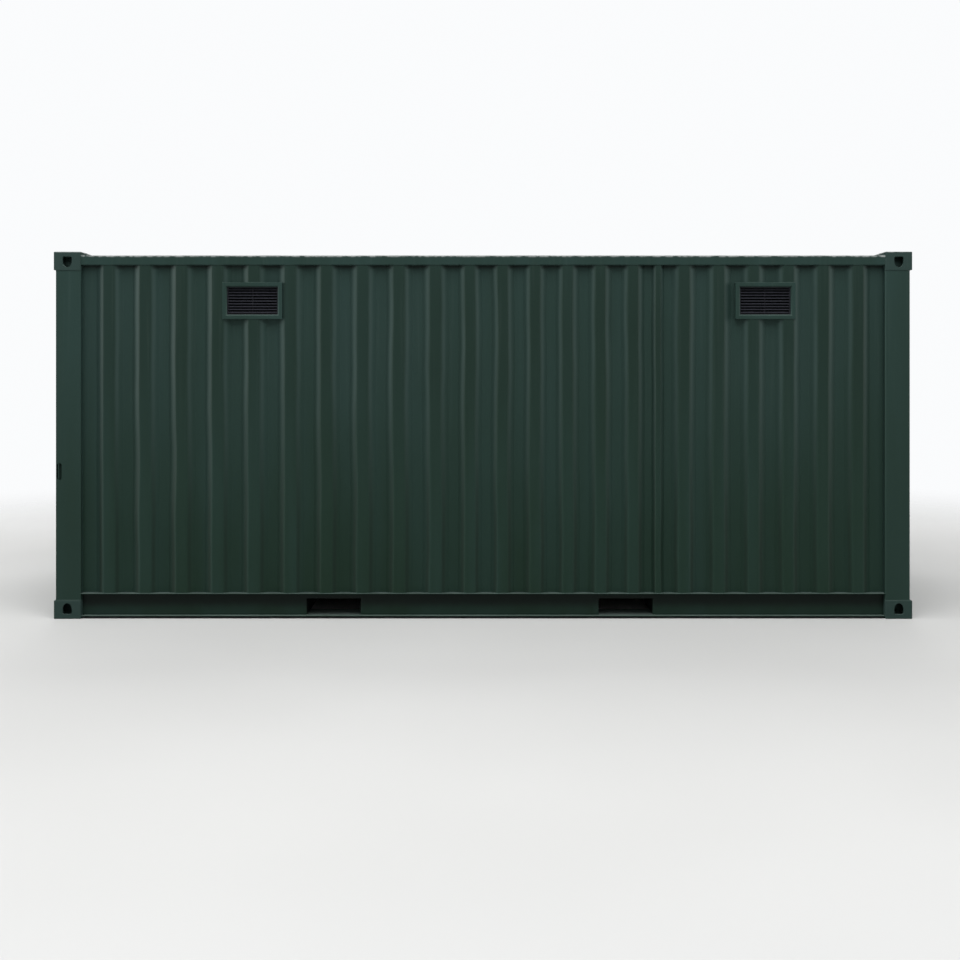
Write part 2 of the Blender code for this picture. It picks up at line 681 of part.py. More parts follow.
def front_beams(finish):
    """Header and sill of the blind end, between the castings."""
    reach = FRONT_HALF
    face = END - FRONT_BEAM_IN
    back = END - CASTING_X
    box_back = face - TOP_RAIL_SIDE
    plate_top = TOP_RAIL_TOP + HEADER_PLATE
    outline = [
        (face, TOP_RAIL_BASE), (face, plate_top), (back, plate_top), (back, TOP_RAIL_TOP),
        (box_back, TOP_RAIL_TOP), (box_back, TOP_RAIL_BASE),
    ]
    header = prism("front_header", [(x, z) for x, z in outline], "Y", -reach, reach, finish)
    wall = TOP_RAIL_WALL
    cut(header, prism(
        "front_header_bore",
        rectangle(box_back + wall, face - wall, TOP_RAIL_BASE + wall, TOP_RAIL_TOP - wall),
        "Y", -reach - OVERRUN, reach + OVERRUN,
    ))
    line = [
        (face - FRONT_SILL_DEPTH, RAIL_BASE), (face, RAIL_BASE),
        (face, BOTTOM_RAIL_TOP), (face - FRONT_SILL_DEPTH, BOTTOM_RAIL_TOP),
    ]
    prism("front_sill", sheet_outline(line, BOTTOM_RAIL_WALL), "Y", -reach, reach, finish)


def casting_rooms(low, high):
    """Room for the two castings at the door end, cut from the ends of a beam between two heights."""
    rooms = []
    for way in (-1, 1):
        sides = sorted((way * FRONT_HALF, way * (SIDE + OVERRUN)))
        rooms.append(block(
            "casting_room",
            (from_end(-OVERRUN), sides[0], low),
            (from_end(CASTING_X + OVERRUN), sides[1], high),
        ))
    return rooms


def stop_rooms(low, high):
    """Room for the stops of the two door posts, cut from the ends of a beam."""
    rooms = []
    for way in (-1, 1):
        sides = sorted((way * (SIDE - STOP_SIDE_IN - TOUCH), way * (SIDE + OVERRUN)))
        rooms.append(block(
            "stop_room",
            (from_end(STOP_IN - TOUCH), sides[0], low - OVERRUN),
            (from_end(BEAM_BACK_IN + OVERRUN), sides[1], high + OVERRUN),
        ))
    return rooms


def bar_places():
    """Y of the four locking bars, with the way towards the hinge of the leaf that each is on."""
    width = LEAF_HINGE_Y - LEAF_MEET_Y
    near = [-LEAF_HINGE_Y + share * width for share in BAR_SHARES]
    return [(y, -1) for y in near] + [(-y, 1) for y in near[::-1]]


def keepers(z):
    """Hooked brackets that the cams turn behind, one for each bar."""
    made = []
    for y, way in bar_places():
        lip = y + way * (CAM_RADIUS + KEEPER_GAP)
        far = y + way * (CAM_NOSE + KEEPER_GAP)
        line = [
            (from_end(KEEPER_LIP_IN), lip), (from_end(KEEPER_LIP_IN), far + way * KEEPER_WALL),
            (from_end(BEAM_FACE_IN + BITE), far + way * KEEPER_WALL), (from_end(BEAM_FACE_IN + BITE), far),
            (from_end(KEEPER_LIP_IN + KEEPER_WALL), far), (from_end(KEEPER_LIP_IN + KEEPER_WALL), lip),
        ]
        half = KEEPER_HEIGHT / 2
        made.append(prism("keeper", line, "Z", z - half, z + half))
    return made


def door_beam(name, outline, hollow, casting_heights, cam_height, finish):
    """Header or sill of the door end: a hollow beam with a stop behind the leaves."""
    reach = SIDE - JAMB_SIDE_IN - TOUCH
    heights = [z for _, z in outline]
    beam = prism(name, outline, "Y", -reach, reach, finish)
    cut(beam, prism(name + "_bore", hollow, "Y", -reach - OVERRUN, reach + OVERRUN))
    cut(beam, *casting_rooms(*casting_heights), *stop_rooms(min(heights), max(heights)))
    join(beam, *keepers(cam_height))


def door_beams(finish):
    face, back, stop = from_end(BEAM_FACE_IN), from_end(BEAM_BACK_IN), from_end(STOP_IN)
    wall = BEAM_WALL
    lip = LEAF_HEAD - HEADER_STOP
    top = DOOR_HEADER_TOP
    door_beam(
        "door_header",
        [(face, LEAF_HEAD), (face, top), (back, top), (back, lip), (stop, lip), (stop, LEAF_HEAD)],
        [(face + wall, LEAF_HEAD + wall), (face + wall, top - wall), (back - wall, top - wall),
         (back - wall, lip + wall), (stop + wall, lip + wall), (stop + wall, LEAF_HEAD + wall)],
        (POST_HIGH, OUTER_HEIGHT + OVERRUN), HEADER_CAM_Z, finish,
    )
    low, lip = RAIL_BASE, LEAF_FOOT + SILL_STOP
    door_beam(
        "door_sill",
        [(face, low), (face, LEAF_FOOT), (stop, LEAF_FOOT), (stop, lip), (back, lip), (back, low)],
        [(face + wall, low + wall), (face + wall, LEAF_FOOT - wall), (stop + wall, LEAF_FOOT - wall),
         (stop + wall, lip - wall), (back - wall, lip - wall), (back - wall, low + wall)],
        (-OVERRUN, POST_LOW), SILL_CAM_Z, finish,
    )


def corrugation(count, pitch, crest, slope, crest_at, depth):
    """Corners of a trapezoid wave with a number of crests, centred on zero along its length."""
    line = []
    for index in range(count):
        middle = (index - (count - 1) / 2) * pitch
        line += [
            (middle - crest / 2 - slope, crest_at + depth),
            (middle - crest / 2, crest_at),
            (middle + crest / 2, crest_at),
            (middle + crest / 2 + slope, crest_at + depth),
        ]
    return line


def vent_box(name, x, shrink, low_in, high_in):
    """A box centred on a vent of the near side, between two depths in from the side."""
    return block(
        name,
        (x - VENT_WIDTH / 2 + shrink, from_side(low_in), VENT_Z - VENT_HEIGHT / 2 + shrink),
        (x + VENT_WIDTH / 2 - shrink, from_side(high_in), VENT_Z + VENT_HEIGHT / 2 - shrink),
    )


def side_folds():
    """Corners of the side wall's wave, sheet by sheet, as X and distance in from the side."""
    line = []
    start = -SHEETS_LENGTH / 2
    for folds, share in zip(SIDE_SHEET_FOLDS, SIDE_SHEET_SHARES):
        width = SHEETS_LENGTH * share
        pitch = width / folds
        crest, slope = SIDE_CREST_SHARE * pitch, SIDE_SLOPE_SHARE * pitch
        wave = corrugation(folds, pitch, crest, slope, CREST_SIDE_IN, SIDE_DEPTH)
        line += [(start + width / 2 + x, inward) for x, inward in wave]
        start += width
    return line


def side_walls(finish):
    """Pressed sheets with upright corrugations, cut out for the vents."""
    ends = RAIL_HALF
    flat = CREST_SIDE_IN + SIDE_DEPTH
    line = [(-ends, flat)] + side_folds() + [(ends, flat)]
    line = [(x, from_side(inward)) for x, inward in line]
    near = prism(
        "side_wall_near", sheet_outline(line, SHEET),
        "Z", BOTTOM_RAIL_TOP + TOUCH, TOP_RAIL_BASE - TOUCH, finish,
    )
    for x in VENT_XS:
        cut(near, vent_box("vent_hole", x, -TOUCH, CREST_SIDE_IN - OVERRUN, flat + SHEET + OVERRUN))
    mirrored("side_wall_far", near, y=-1)


def front_wall(finish):
    ends = FRONT_HALF
    wave = corrugation(FRONT_CRESTS, FRONT_PITCH, FRONT_CREST, FRONT_SLOPE, FRONT_CREST_IN, FRONT_DEPTH)
    flat = FRONT_CREST_IN + FRONT_DEPTH
    line = [(-ends, flat)] + wave + [(ends, flat)]
    line = [(END - inward, y) for y, inward in line]
    prism(
        "front_wall", sheet_outline(line, SHEET),
        "Z", BOTTOM_RAIL_TOP + TOUCH, TOP_RAIL_BASE - TOUCH, finish,
    )


def rib_heights(x):
    """Corners of one rib across its width, as places and whether each is raised."""
    half = ROOF_RIB_TOP / 2
    foot = half + ROOF_RIB_SLOPE
    return [(x - foot, False), (x - half, True), (x + half, True), (x + foot, False)]


def roof_panel(finish):
    """Stamped sheet: a grid of stations along and across, raised where a rib stands."""
    ends = RAIL_HALF
    edge = SIDE - TOP_RAIL_SIDE_IN - CORNER_PLATE_CHEEK - TOUCH
    stations = [(-ends, False)]
    for index in range(ROOF_RIBS):
        stations += rib_heights((index - (ROOF_RIBS - 1) / 2) * ROOF_PITCH)
    stations.append((ends, False))
    rib_foot = edge - ROOF_MARGIN_Y
    rib_top = rib_foot - ROOF_RIB_END_SLOPE
    half_rows = [(edge, False), (rib_foot, False), (rib_top, True)]
    rows = [(-y, up) for y, up in half_rows] + half_rows[::-1]
    bm = bmesh.new()
    base = ROOF_TOP - SHEET
    layers = []
    for lift in (SHEET, 0):
        layers.append([[
            bm.verts.new((x, y, base + lift + ROOF_RIB_HEIGHT * (raised and up)))
            for y, up in rows] for x, raised in stations])
    upper, lower = layers
    for i in range(len(stations) - 1):
        for j in range(len(rows) - 1):
            for layer in layers:
                bm.faces.new((layer[i][j], layer[i + 1][j], layer[i + 1][j + 1], layer[i][j + 1]))
    rim = [(i, 0) for i in range(len(stations))]
    rim += [(len(stations) - 1, j) for j in range(1, len(rows))]
    rim += [(i, len(rows) - 1) for i in range(len(stations) - 2, -1, -1)]
    rim += [(0, j) for j in range(len(rows) - 2, 0, -1)]
    for (i, j), (k, m) in zip(rim, rim[1:] + rim[:1]):
        bm.faces.new((upper[i][j], upper[k][m], lower[k][m], lower[i][j]))
    new_object("roof_panel", bm, finish)


def vents(frame_finish, grille_finish):
    """Framed louvres let into the side walls, two on each side."""
    back = CREST_SIDE_IN + SIDE_DEPTH + SHEET + VENT_BACK
    face = CREST_SIDE_IN - VENT_PROUD
    for name, x in zip(("left", "right"), VENT_XS):
        frame = vent_box(f"vent_frame_near_{name}", x, 0, face, back)
        frame.data.materials.append(frame_finish)
        cut(frame, vent_box("vent_opening", x, VENT_BORDER, face - OVERRUN, back + OVERRUN))
        cut(frame, vent_chamfer(x, face))
        mirrored(f"vent_frame_far_{name}", frame, y=-1)
        grille = vent_grille(f"vent_grille_near_{name}", x, face + GRILLE_RECESS, grille_finish)
        mirrored(f"vent_grille_far_{name}", grille, y=-1)


def vent_chamfer(x, face):
    """The cutter that bevels the front edge of a vent's opening all round."""
    bm = bmesh.new()
    loops = []
    for depth, grow in ((face - VENT_CHAMFER, 2 * VENT_CHAMFER), (face + VENT_CHAMFER, 0)):
        half_x = VENT_WIDTH / 2 - VENT_BORDER + grow
        half_z = VENT_HEIGHT / 2 - VENT_BORDER + grow
        loops.append([
            bm.verts.new((x + a * half_x, from_side(depth), VENT_Z + b * half_z))
            for a, b in ((-1, -1), (1, -1), (1, 1), (-1, 1))
        ])
    bm.faces.new(loops[0])
    bm.faces.new(loops[1])
    for here, there in zip(range(4), (1, 2, 3, 0)):
        bm.faces.new((loops[0][here], loops[0][there], loops[1][there], loops[1][here]))
    return new_object("vent_bevel", bm)


def vent_grille(name, x, face, finish):
    """A rim with one upright bar and sloping slats."""
    low, high = face, face + GRILLE_DEPTH
    outer = VENT_BORDER + TOUCH
    grille = vent_box(name, x, outer, low, high)
    grille.data.materials.append(finish)
    cut(grille, vent_box("grille_opening", x, outer + GRILLE_RIM, low - OVERRUN, high + OVERRUN))
    half_x = VENT_WIDTH / 2 - outer - GRILLE_RIM + BITE
    clear = VENT_HEIGHT - 2 * (outer + GRILLE_RIM)
    count = int(clear / SLAT_PITCH)
    front, rear = from_side(low) + SLAT_WALL, from_side(high) - SLAT_WALL
    for index in range(count):
        z = VENT_Z + (index - (count - 1) / 2) * SLAT_PITCH
        outline = [
            (front, z - SLAT_DROP / 2), (rear, z + SLAT_DROP / 2),
            (rear, z + SLAT_DROP / 2 + SLAT_WALL), (front, z - SLAT_DROP / 2 + SLAT_WALL),
        ]
        join(grille, prism("slat", outline, "X", x - half_x, x + half_x))
    half_z = clear / 2 + BITE
    half_bar = MULLION_WIDTH / 2
    join(grille, block(
        "mullion",
        (x - half_bar, front + MULLION_SETBACK, VENT_Z - half_z),
        (x + half_bar, rear + SLAT_WALL / 2, VENT_Z + half_z),
    ))
    return grille


def hinge_blade(z):
    """Blade of one hinge: a strap on the leaf with a knuckle round the pin."""
    pin = (from_end(HINGE_PIN_IN), from_side(HINGE_PIN_SIDE_IN))
    radius = HINGE_KNUCKLE_RADIUS
    outer_in = LEAF_OUT_IN - HINGE_BLADE
    outline = [
        (from_end(LEAF_OUT_IN + BITE), from_side(HINGE_BLADE_REACH)),
        (from_end(LEAF_OUT_IN + BITE), -LEAF_HINGE_Y + BITE),
        (from_end(LEAF_OUT_IN), -LEAF_HINGE_Y + BITE),
        (from_end(LEAF_OUT_IN), pin[1] + radius / 2),
    ]
    outline += arc(pin, radius, math.pi / 6, -math.pi)
    outline += arc(pin, radius, math.pi, math.pi / 2)[1:]
    outline += [(from_end(outer_in), pin[1] + 2 * radius), (from_end(outer_in), from_side(HINGE_BLADE_REACH))]
    half = HINGE_KNUCKLE_HEIGHT / 2
    blade = prism("hinge_blade", outline, "Z", z - half, z + half)
    bore = circle(pin, HINGE_PIN_RADIUS + HINGE_BORE_GAP)
    return blade, prism("hinge_bore", bore, "Z", z - half - OVERRUN, z + half + OVERRUN)


def bar_bracket(y, z):
    """Bearing of a locking bar: a strap bent over the bar, with a foot on each side."""
    centre = (from_end(BAR_IN), y)
    radius = BAR_RADIUS + BRACKET_GAP + BRACKET_WALL
    foot = radius + BRACKET_FOOT
    seat, back = from_end(LEAF_OUT_IN - BRACKET_WALL), from_end(PANEL_BACK_IN)
    outline = [(back, y - foot), (seat, y - foot), (seat, y - radius)]
    outline += arc(centre, radius, -math.pi / 2, -3 * math.pi / 2)
    outline += [(seat, y + radius), (seat, y + foot), (back, y + foot)]
    half = BRACKET_HEIGHT / 2
    bracket = prism("bar_bracket", outline, "Z", z - half, z + half)
    bore = circle(centre, BAR_RADIUS + BRACKET_GAP)
    return bracket, prism("bracket_bore", bore, "Z", z - half - OVERRUN, z + half + OVERRUN)


def handle_catch(name, y, z, finish):
    """Bracket bolted to a fold of the leaf, for the free end of a handle: an open hook under it."""
    wall = CATCH_WALL
    back = from_end(LEAF_OUT_IN + PANEL_IN - TOUCH)
    front = from_end(BAR_IN - HANDLE_WALL / 2 - 2 * wall)
    half = HANDLE_WIDTH / 2
    shelf = z - half - TOUCH
    outline = [
        (back, shelf - wall), (front, shelf - wall),
        (front, shelf + 2 * wall), (front + wall, shelf + 2 * wall),
        (front + wall, shelf), (from_end(LEAF_OUT_IN - wall), shelf),
        (from_end(LEAF_OUT_IN - wall), z + half + wall), (back, z + half + wall),
    ]
    return prism(name, outline, "Y", y - CATCH_LENGTH / 2, y + CATCH_LENGTH / 2, finish)


def fold_height(row):
    """Middle height of one of the panel's outward folds, counted up from the one by the middle."""
    half_step = PANEL_TROUGHS % 2 / 2
    return LEAF_MIDDLE_Z + (row + half_step) * PANEL_PITCH


def bracket_heights():
    """Heights of a bar's brackets: two on the leaf's rails and two on folds of the panel."""
    on_rails = [LEAF_BASE + LEAF_RAIL / 2, LEAF_TOP - LEAF_RAIL / 2]
    return on_rails + [fold_height(row) for row in BRACKET_ROWS]


def near_bars():
    """Places of the near leaf's two bars, with the height of each handle and its way to the other bar."""
    places = [y for y, _ in bar_places()[:2]]
    heights = [fold_height(row) for row in HANDLE_ROWS]
    return list(zip(places, heights, (1, -1)))


def door_leaf(finish):
    """Near leaf: a frame of stiles and rails round a panel with level corrugations."""
    low_y, high_y = -LEAF_HINGE_Y, -LEAF_MEET_Y
    outside, back = from_end(LEAF_OUT_IN), from_end(LEAF_BACK_IN)
    leaf = block("door_leaf_near", (outside, low_y, LEAF_BASE), (back, high_y, LEAF_TOP), finish)
    cut(leaf, block(
        "leaf_opening",
        (outside - OVERRUN, low_y + LEAF_STILE, PANEL_BASE),
        (back + OVERRUN, high_y - LEAF_STILE, PANEL_TOP),
    ))
    trough = PANEL_PITCH - PANEL_CREST - 2 * PANEL_SLOPE
    wave = corrugation(PANEL_TROUGHS, PANEL_PITCH, trough, PANEL_SLOPE, PANEL_DEPTH, -PANEL_DEPTH)
    wave = [(LEAF_MIDDLE_Z + z, outside + PANEL_IN + depth) for z, depth in wave]
    flat = outside + PANEL_IN
    line = [(PANEL_BASE - PANEL_BITE, flat)] + wave + [(PANEL_TOP + PANEL_BITE, flat)]
    outline = [(x, z) for z, x in sheet_outline(line, PANEL_SHEET)]
    join(leaf, prism(
        "leaf_panel", outline,
        "Y", low_y + LEAF_STILE - PANEL_BITE, high_y - LEAF_STILE + PANEL_BITE,
    ))
    for z in HINGE_ZS:
        blade, bore = hinge_blade(z)
        join(leaf, blade)
        cut(leaf, bore)
    for y, _, _ in near_bars():
        for z in bracket_heights():
            bracket, bore = bar_bracket(y, z)
            join(leaf, bracket)
            cut(leaf, bore)
    mirrored("door_leaf_far", leaf, y=-1)


def door_gaskets(finish):
    """Rubber seal round each leaf, between its edge and the frame."""
    low_y, high_y = -LEAF_HINGE_Y, -LEAF_MEET_Y
    low_in, high_in = GASKET_IN, STOP_IN - GASKET_BACK
    grow = GASKET - TOUCH
    gasket = block(
        "door_gasket_near",
        (from_end(low_in), low_y - grow, LEAF_BASE - grow),
        (from_end(high_in), high_y + grow, LEAF_TOP + grow),
        finish,
    )
    cut(gasket, block(
        "gasket_room",
        (from_end(low_in) - OVERRUN, low_y - TOUCH, LEAF_BASE - TOUCH),
        (from_end(high_in) + OVERRUN, high_y + TOUCH, LEAF_TOP + TOUCH),
    ))
    mirrored("door_gasket_far", gasket, y=-1)


def cam(y, z, way):
    """A disc on the bar with a nose that lies behind the keeper."""
    centre = (from_end(BAR_IN), y)
    half = CAM_THICKNESS / 2
    disc = prism("cam_disc", circle(centre, CAM_RADIUS), "Z", z - half, z + half)
    sides = sorted((y, y + way * CAM_NOSE))
    nose = block(
        "cam_nose",
        (from_end(CAM_NOSE_IN), sides[0], z - half + BITE / 2),
        (from_end(CAM_NOSE_BACK), sides[1], z + half - BITE / 2),
    )
    return disc, nose


def handle_hub(y, z, way):
    """Ring round a bar with two cheeks, and the pin that the handle turns on between them."""
    half = HUB_HEIGHT / 2
    ring = prism("hub_ring", circle((from_end(BAR_IN), y), HUB_RADIUS), "Z", z - half, z + half)
    sides = sorted((y, y + way * HUB_REACH))
    gap = HANDLE_WALL / 2 + TOUCH
    front, back = BAR_IN - gap, BAR_IN + gap
    base, top = z - half + BITE, z + half - BITE
    cheeks = [
        block("hub_cheek", (from_end(low), sides[0], base), (from_end(low + HUB_CHEEK), sides[1], top))
        for low in (front - HUB_CHEEK, back)
    ]
    pin = circle((y + way * HANDLE_PIN_REACH, z), HANDLE_PIN_RADIUS)
    return [ring, *cheeks, prism("handle_pin", pin, "X", from_end(front - BITE), from_end(back + BITE))]


def door_handle(name, y, z, way, finish):
    """Flat lever with a round root between the hub's cheeks, a narrower grip and a round end."""
    half, grip = HANDLE_WIDTH / 2, HANDLE_GRIP_WIDTH / 2
    root = HUB_RADIUS + HANDLE_ROOT_GAP + half
    neck = HANDLE_LENGTH * (1 - HANDLE_GRIP_SHARE)
    outline = arc((root, 0), half, math.pi / 2, 3 * math.pi / 2)
    outline += [(neck, -half), (neck + half, -grip)]
    outline += arc((HANDLE_LENGTH - grip, 0), grip, -math.pi / 2, math.pi / 2)
    outline += [(neck + half, grip), (neck, half)]
    low, high = from_end(BAR_IN - HANDLE_WALL / 2), from_end(BAR_IN + HANDLE_WALL / 2)
    handle = prism(name, [(y + way * u, z + v) for u, v in outline], "X", low, high, finish)
    hole = circle((y + way * HANDLE_PIN_REACH, z), HANDLE_PIN_RADIUS + TOUCH)
    return cut(handle, prism("handle_hole", hole, "X", low - OVERRUN, high + OVERRUN))


def locking_bars(finish, catch_finish):
    """Round bars with a cam at each end, their handles, which lie across the leaf, and the catches."""
    number = 0
    for y, handle_z, way in near_bars():
        number += 1
        centre = (from_end(BAR_IN), y)
        bar = prism(f"locking_bar_{number}", circle(centre, BAR_RADIUS), "Z",
                    SILL_CAM_Z - CAM_THICKNESS, HEADER_CAM_Z + CAM_THICKNESS, finish)
        for z in (SILL_CAM_Z, HEADER_CAM_Z):
            join(bar, *cam(y, z, -1))
        join(bar, *handle_hub(y, handle_z, way))
        mirrored(f"locking_bar_{BARS + 1 - number}", bar, y=-1)
        handle = door_handle(f"door_handle_{number}", y, handle_z, way, finish)
        mirrored(f"door_handle_{BARS + 1 - number}", handle, y=-1)
        free_y = y + way * (HANDLE_LENGTH - CATCH_LENGTH)
        catch = handle_catch(f"handle_catch_{number}", free_y, handle_z, catch_finish)
        mirrored(f"handle_catch_{BARS + 1 - number}", catch, y=-1)


def main():
    clear_scene()
    green = paint("green_paint", (0.024, 0.045, 0.038), 0.45)
    casting_green = paint("casting_paint", (0.026, 0.046, 0.040), 0.55)
    zinc = paint("galvanised_steel", (0.42, 0.43, 0.43), 0.45, BARE_METAL_SHARE)
    black = paint("black_grille", (0.012, 0.012, 0.014), 0.6)
    rubber = paint("seal_rubber", (0.010, 0.010, 0.011), 0.8)
    plywood = paint("floor_plywood", (0.30, 0.17, 0.08), 0.7)
    corner_castings(casting_green)
    front_posts(green)
    door_posts(green)
    bottom_side_rails(green)
    top_side_rails(green)
    front_beams(green)
    door_beams(green)
    side_walls(green)
    front_wall(green)
    roof_panel(green)
    crossmembers(green)
    fork_pockets(green)
    floor_deck(plywood)
    vents(green, black)
    door_leaf(green)
    door_gaskets(rubber)
    locking_bars(zinc, green)


main()
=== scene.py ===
# %% [markdown]
# # A green storage container, seen from its long side
#
# The imported model is a 20 ft steel container: castings at the corners, posts and rails between
# them, pressed walls, a stamped roof and a pair of doors. Its shapes and sizes are settled, so this
# script only dresses it. It rounds the edges that a press or a mould rounds, adds weld beads and
# bolts, and gives each surface its finish. The frame is loaded first, and its box is kept.

# %% Load the frame
import math

import bmesh
import bpy
from mathutils import Matrix, Vector


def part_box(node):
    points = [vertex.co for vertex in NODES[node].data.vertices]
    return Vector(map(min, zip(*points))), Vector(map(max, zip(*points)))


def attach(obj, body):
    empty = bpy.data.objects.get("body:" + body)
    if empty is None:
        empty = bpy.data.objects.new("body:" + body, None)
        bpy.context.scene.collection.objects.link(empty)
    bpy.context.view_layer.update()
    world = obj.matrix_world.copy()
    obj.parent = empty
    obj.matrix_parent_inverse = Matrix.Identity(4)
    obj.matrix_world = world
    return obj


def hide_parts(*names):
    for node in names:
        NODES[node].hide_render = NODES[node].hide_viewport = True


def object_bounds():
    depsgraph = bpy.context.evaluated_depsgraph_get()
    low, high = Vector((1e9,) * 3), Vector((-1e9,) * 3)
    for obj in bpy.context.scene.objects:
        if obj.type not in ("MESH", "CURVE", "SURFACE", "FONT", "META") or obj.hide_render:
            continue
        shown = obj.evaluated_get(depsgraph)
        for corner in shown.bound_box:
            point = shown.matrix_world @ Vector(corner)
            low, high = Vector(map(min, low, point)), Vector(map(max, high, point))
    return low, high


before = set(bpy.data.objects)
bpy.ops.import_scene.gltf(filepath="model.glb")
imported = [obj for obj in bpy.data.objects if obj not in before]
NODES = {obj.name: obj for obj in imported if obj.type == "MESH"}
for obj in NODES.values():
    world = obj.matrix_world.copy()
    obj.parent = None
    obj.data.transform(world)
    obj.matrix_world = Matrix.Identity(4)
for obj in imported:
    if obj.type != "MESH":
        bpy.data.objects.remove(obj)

CAD_LOW, CAD_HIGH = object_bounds()
BODY = "root"
print("nodes:", len(NODES), "box:", [round(v, 3) for v in CAD_HIGH - CAD_LOW])

# %% [markdown]
# ## The camera
#
# The photograph looks square-on at the near side from a little above eye level. The camera could be
# aimed and then turned until the picture fits, but a square-on view keeps all uprights upright, so
# it is left level and its frame is shifted down instead, as an architect's camera does. Three
# measures in the picture settle its lens, its place sideways and its shift: the left and right edge
# of the castings and the horizon.

# %% Camera
PICTURE = 960                   # pixels along each side of the picture
CASTING_LEFT_PX = 53.6
CASTING_RIGHT_PX = 912.5
HORIZON_PX = 357.0
SENSOR = 36.0                   # millimetres
CAMERA_DISTANCE = 8.8           # metres from the near side
CAMERA_HEIGHT = 1.848

length = CAD_HIGH.x - CAD_LOW.x
focal_px = CAMERA_DISTANCE * (CASTING_RIGHT_PX - CASTING_LEFT_PX) / length
middle_px = (CASTING_LEFT_PX + CASTING_RIGHT_PX) / 2
camera_x = (PICTURE / 2 - middle_px) * CAMERA_DISTANCE / focal_px
camera_place = (camera_x, CAD_LOW.y - CAMERA_DISTANCE, CAMERA_HEIGHT)
bpy.ops.object.camera_add(location=camera_place, rotation=(math.pi / 2, 0, 0))
camera = bpy.context.object
camera.name = "camera"
camera.data.sensor_width = SENSOR
camera.data.lens = SENSOR * focal_px / PICTURE
camera.data.shift_y = (HORIZON_PX - PICTURE / 2) / PICTURE
bpy.context.scene.camera = camera
bpy.context.scene.view_settings.view_transform = "Standard"
print("lens:", round(camera.data.lens, 1), "mm, shift:", round(camera.data.shift_y, 3))

# %% [markdown]
# ## Picking things by code
#
# An operator acts on whatever is selected. By hand one clicks; here a test says which edges or faces
# are meant, by their place, length or direction. These helpers do no modelling. They only select,
# and go in and out of edit mode.

# %% Selection helpers
NEAR_ZERO = 0.00002             # two points closer than this are one
IN_PLANE = 0.00010              # a point closer than this to a plane lies in it


def alone(piece):
    """Selects one piece and nothing else, and makes it active."""
    for other in bpy.context.selected_objects:
        other.select_set(False)
    piece.select_set(True)
    bpy.context.view_layer.objects.active = piece


def mode(name):
    bpy.ops.object.mode_set(mode=name)


def pick(piece, kind, test):
    """Selects, in edit mode, the edges or faces that a test picks, and counts them."""
    bpy.ops.mesh.select_mode(type=kind)
    bpy.ops.mesh.select_all(action="DESELECT")
    mesh = bmesh.from_edit_mesh(piece.data)
    items = mesh.edges if kind == "EDGE" else mesh.faces
    chosen = [item for item in items if test(item)]
    for item in chosen:
        item.select_set(True)
    bmesh.update_edit_mesh(piece.data)
    return len(chosen)


def is_sharp(edge, angle):
    """True where two faces meet at more than an angle."""
    return len(edge.link_faces) == 2 and edge.calc_face_angle() > angle


# %% [markdown]
# ## Shader sums
#
# A finish is a sum of simple fields: a slow change of colour, streaks, dust where water leaves it.
# In the node editor each plus sign is a node with two wires. Here a small class wraps a socket, so a
# sum of fields is written as a sum, and one method adds every other kind of node.

# %% Fields and finishes
class Field:
    """A socket that carries a number, a vector or a colour for each point of a surface."""

    def __init__(self, nodes, socket):
        self.nodes = nodes
        self.socket = socket

    def math(self, operation, first, second):
        return self.nodes.add("ShaderNodeMath", {"operation": operation}, {0: first, 1: second})

    def __add__(self, other):
        return self.math("ADD", self, other)

    __radd__ = __add__

    def __sub__(self, other):
        return self.math("SUBTRACT", self, other)

    def __rsub__(self, other):
        return self.math("SUBTRACT", other, self)

    def __mul__(self, other):
        return self.math("MULTIPLY", self, other)

    __rmul__ = __mul__


class Nodes:
    """A node tree, with one method that adds any node and returns one of its outputs."""

    def __init__(self, tree):
        self.tree = tree

    def add(self, kind, settings=None, sockets=None, output=0):
        node = self.tree.nodes.new(kind)
        for key, value in (settings or {}).items():
            setattr(node, key, value)
        for key, value in (sockets or {}).items():
            self.feed(self.find(node.inputs, key), value)
        return Field(self, self.find(node.outputs, output))

    def find(self, sockets, key):
        """The socket at a place, or the first one in use that has a name."""
        if isinstance(key, int):
            return sockets[key]
        return next(socket for socket in sockets if socket.enabled and socket.name == key)

    def feed(self, socket, value):
        if isinstance(value, Field):
            self.tree.links.new(value.socket, socket)
        else:
            socket.default_value = value

    def place(self):
        """The point on the piece, in metres, in the model's own frame."""
        return self.add("ShaderNodeTexCoord", output="Object")

    def along(self, axis, vector=None):
        """One coordinate of a vector, or of the place."""
        return self.add("ShaderNodeSeparateXYZ", None, {0: vector or self.place()}, axis)

    def facing(self, axis):
        """How far the surface faces along an axis, from -1 to 1."""
        return self.along(axis, self.add("ShaderNodeNewGeometry", output="Normal"))

    def absolute(self, field):
        return self.add("ShaderNodeMath", {"operation": "ABSOLUTE"}, {0: field})

    def noise(self, size, stretch=(1, 1, 1), detail=3.0, seed=0.0):
        """Soft blotches about size metres across, longer where stretch is over 1."""
        shares = [1 / (size * share) for share in stretch]
        scaled = self.add("ShaderNodeVectorMath", {"operation": "MULTIPLY"}, {0: self.place(), 1: shares})
        sockets = {"Vector": scaled, "W": seed, "Scale": 1.0, "Detail": detail}
        return self.add("ShaderNodeTexNoise", {"noise_dimensions": "4D"}, sockets)

    def ramp(self, field, low, high):
        """Runs smoothly from 0, where the field is low, to 1, where it is high."""
        sockets = {"Value": field, "From Min": low, "From Max": high}
        return self.add("ShaderNodeMapRange", {"interpolation_type": "SMOOTHSTEP"}, sockets)

    def mix(self, share, first, second):
        """A colour between two others."""
        sockets = {"Factor": share, "A": first, "B": second}
        return self.add("ShaderNodeMix", {"data_type": "RGBA"}, sockets, "Result")


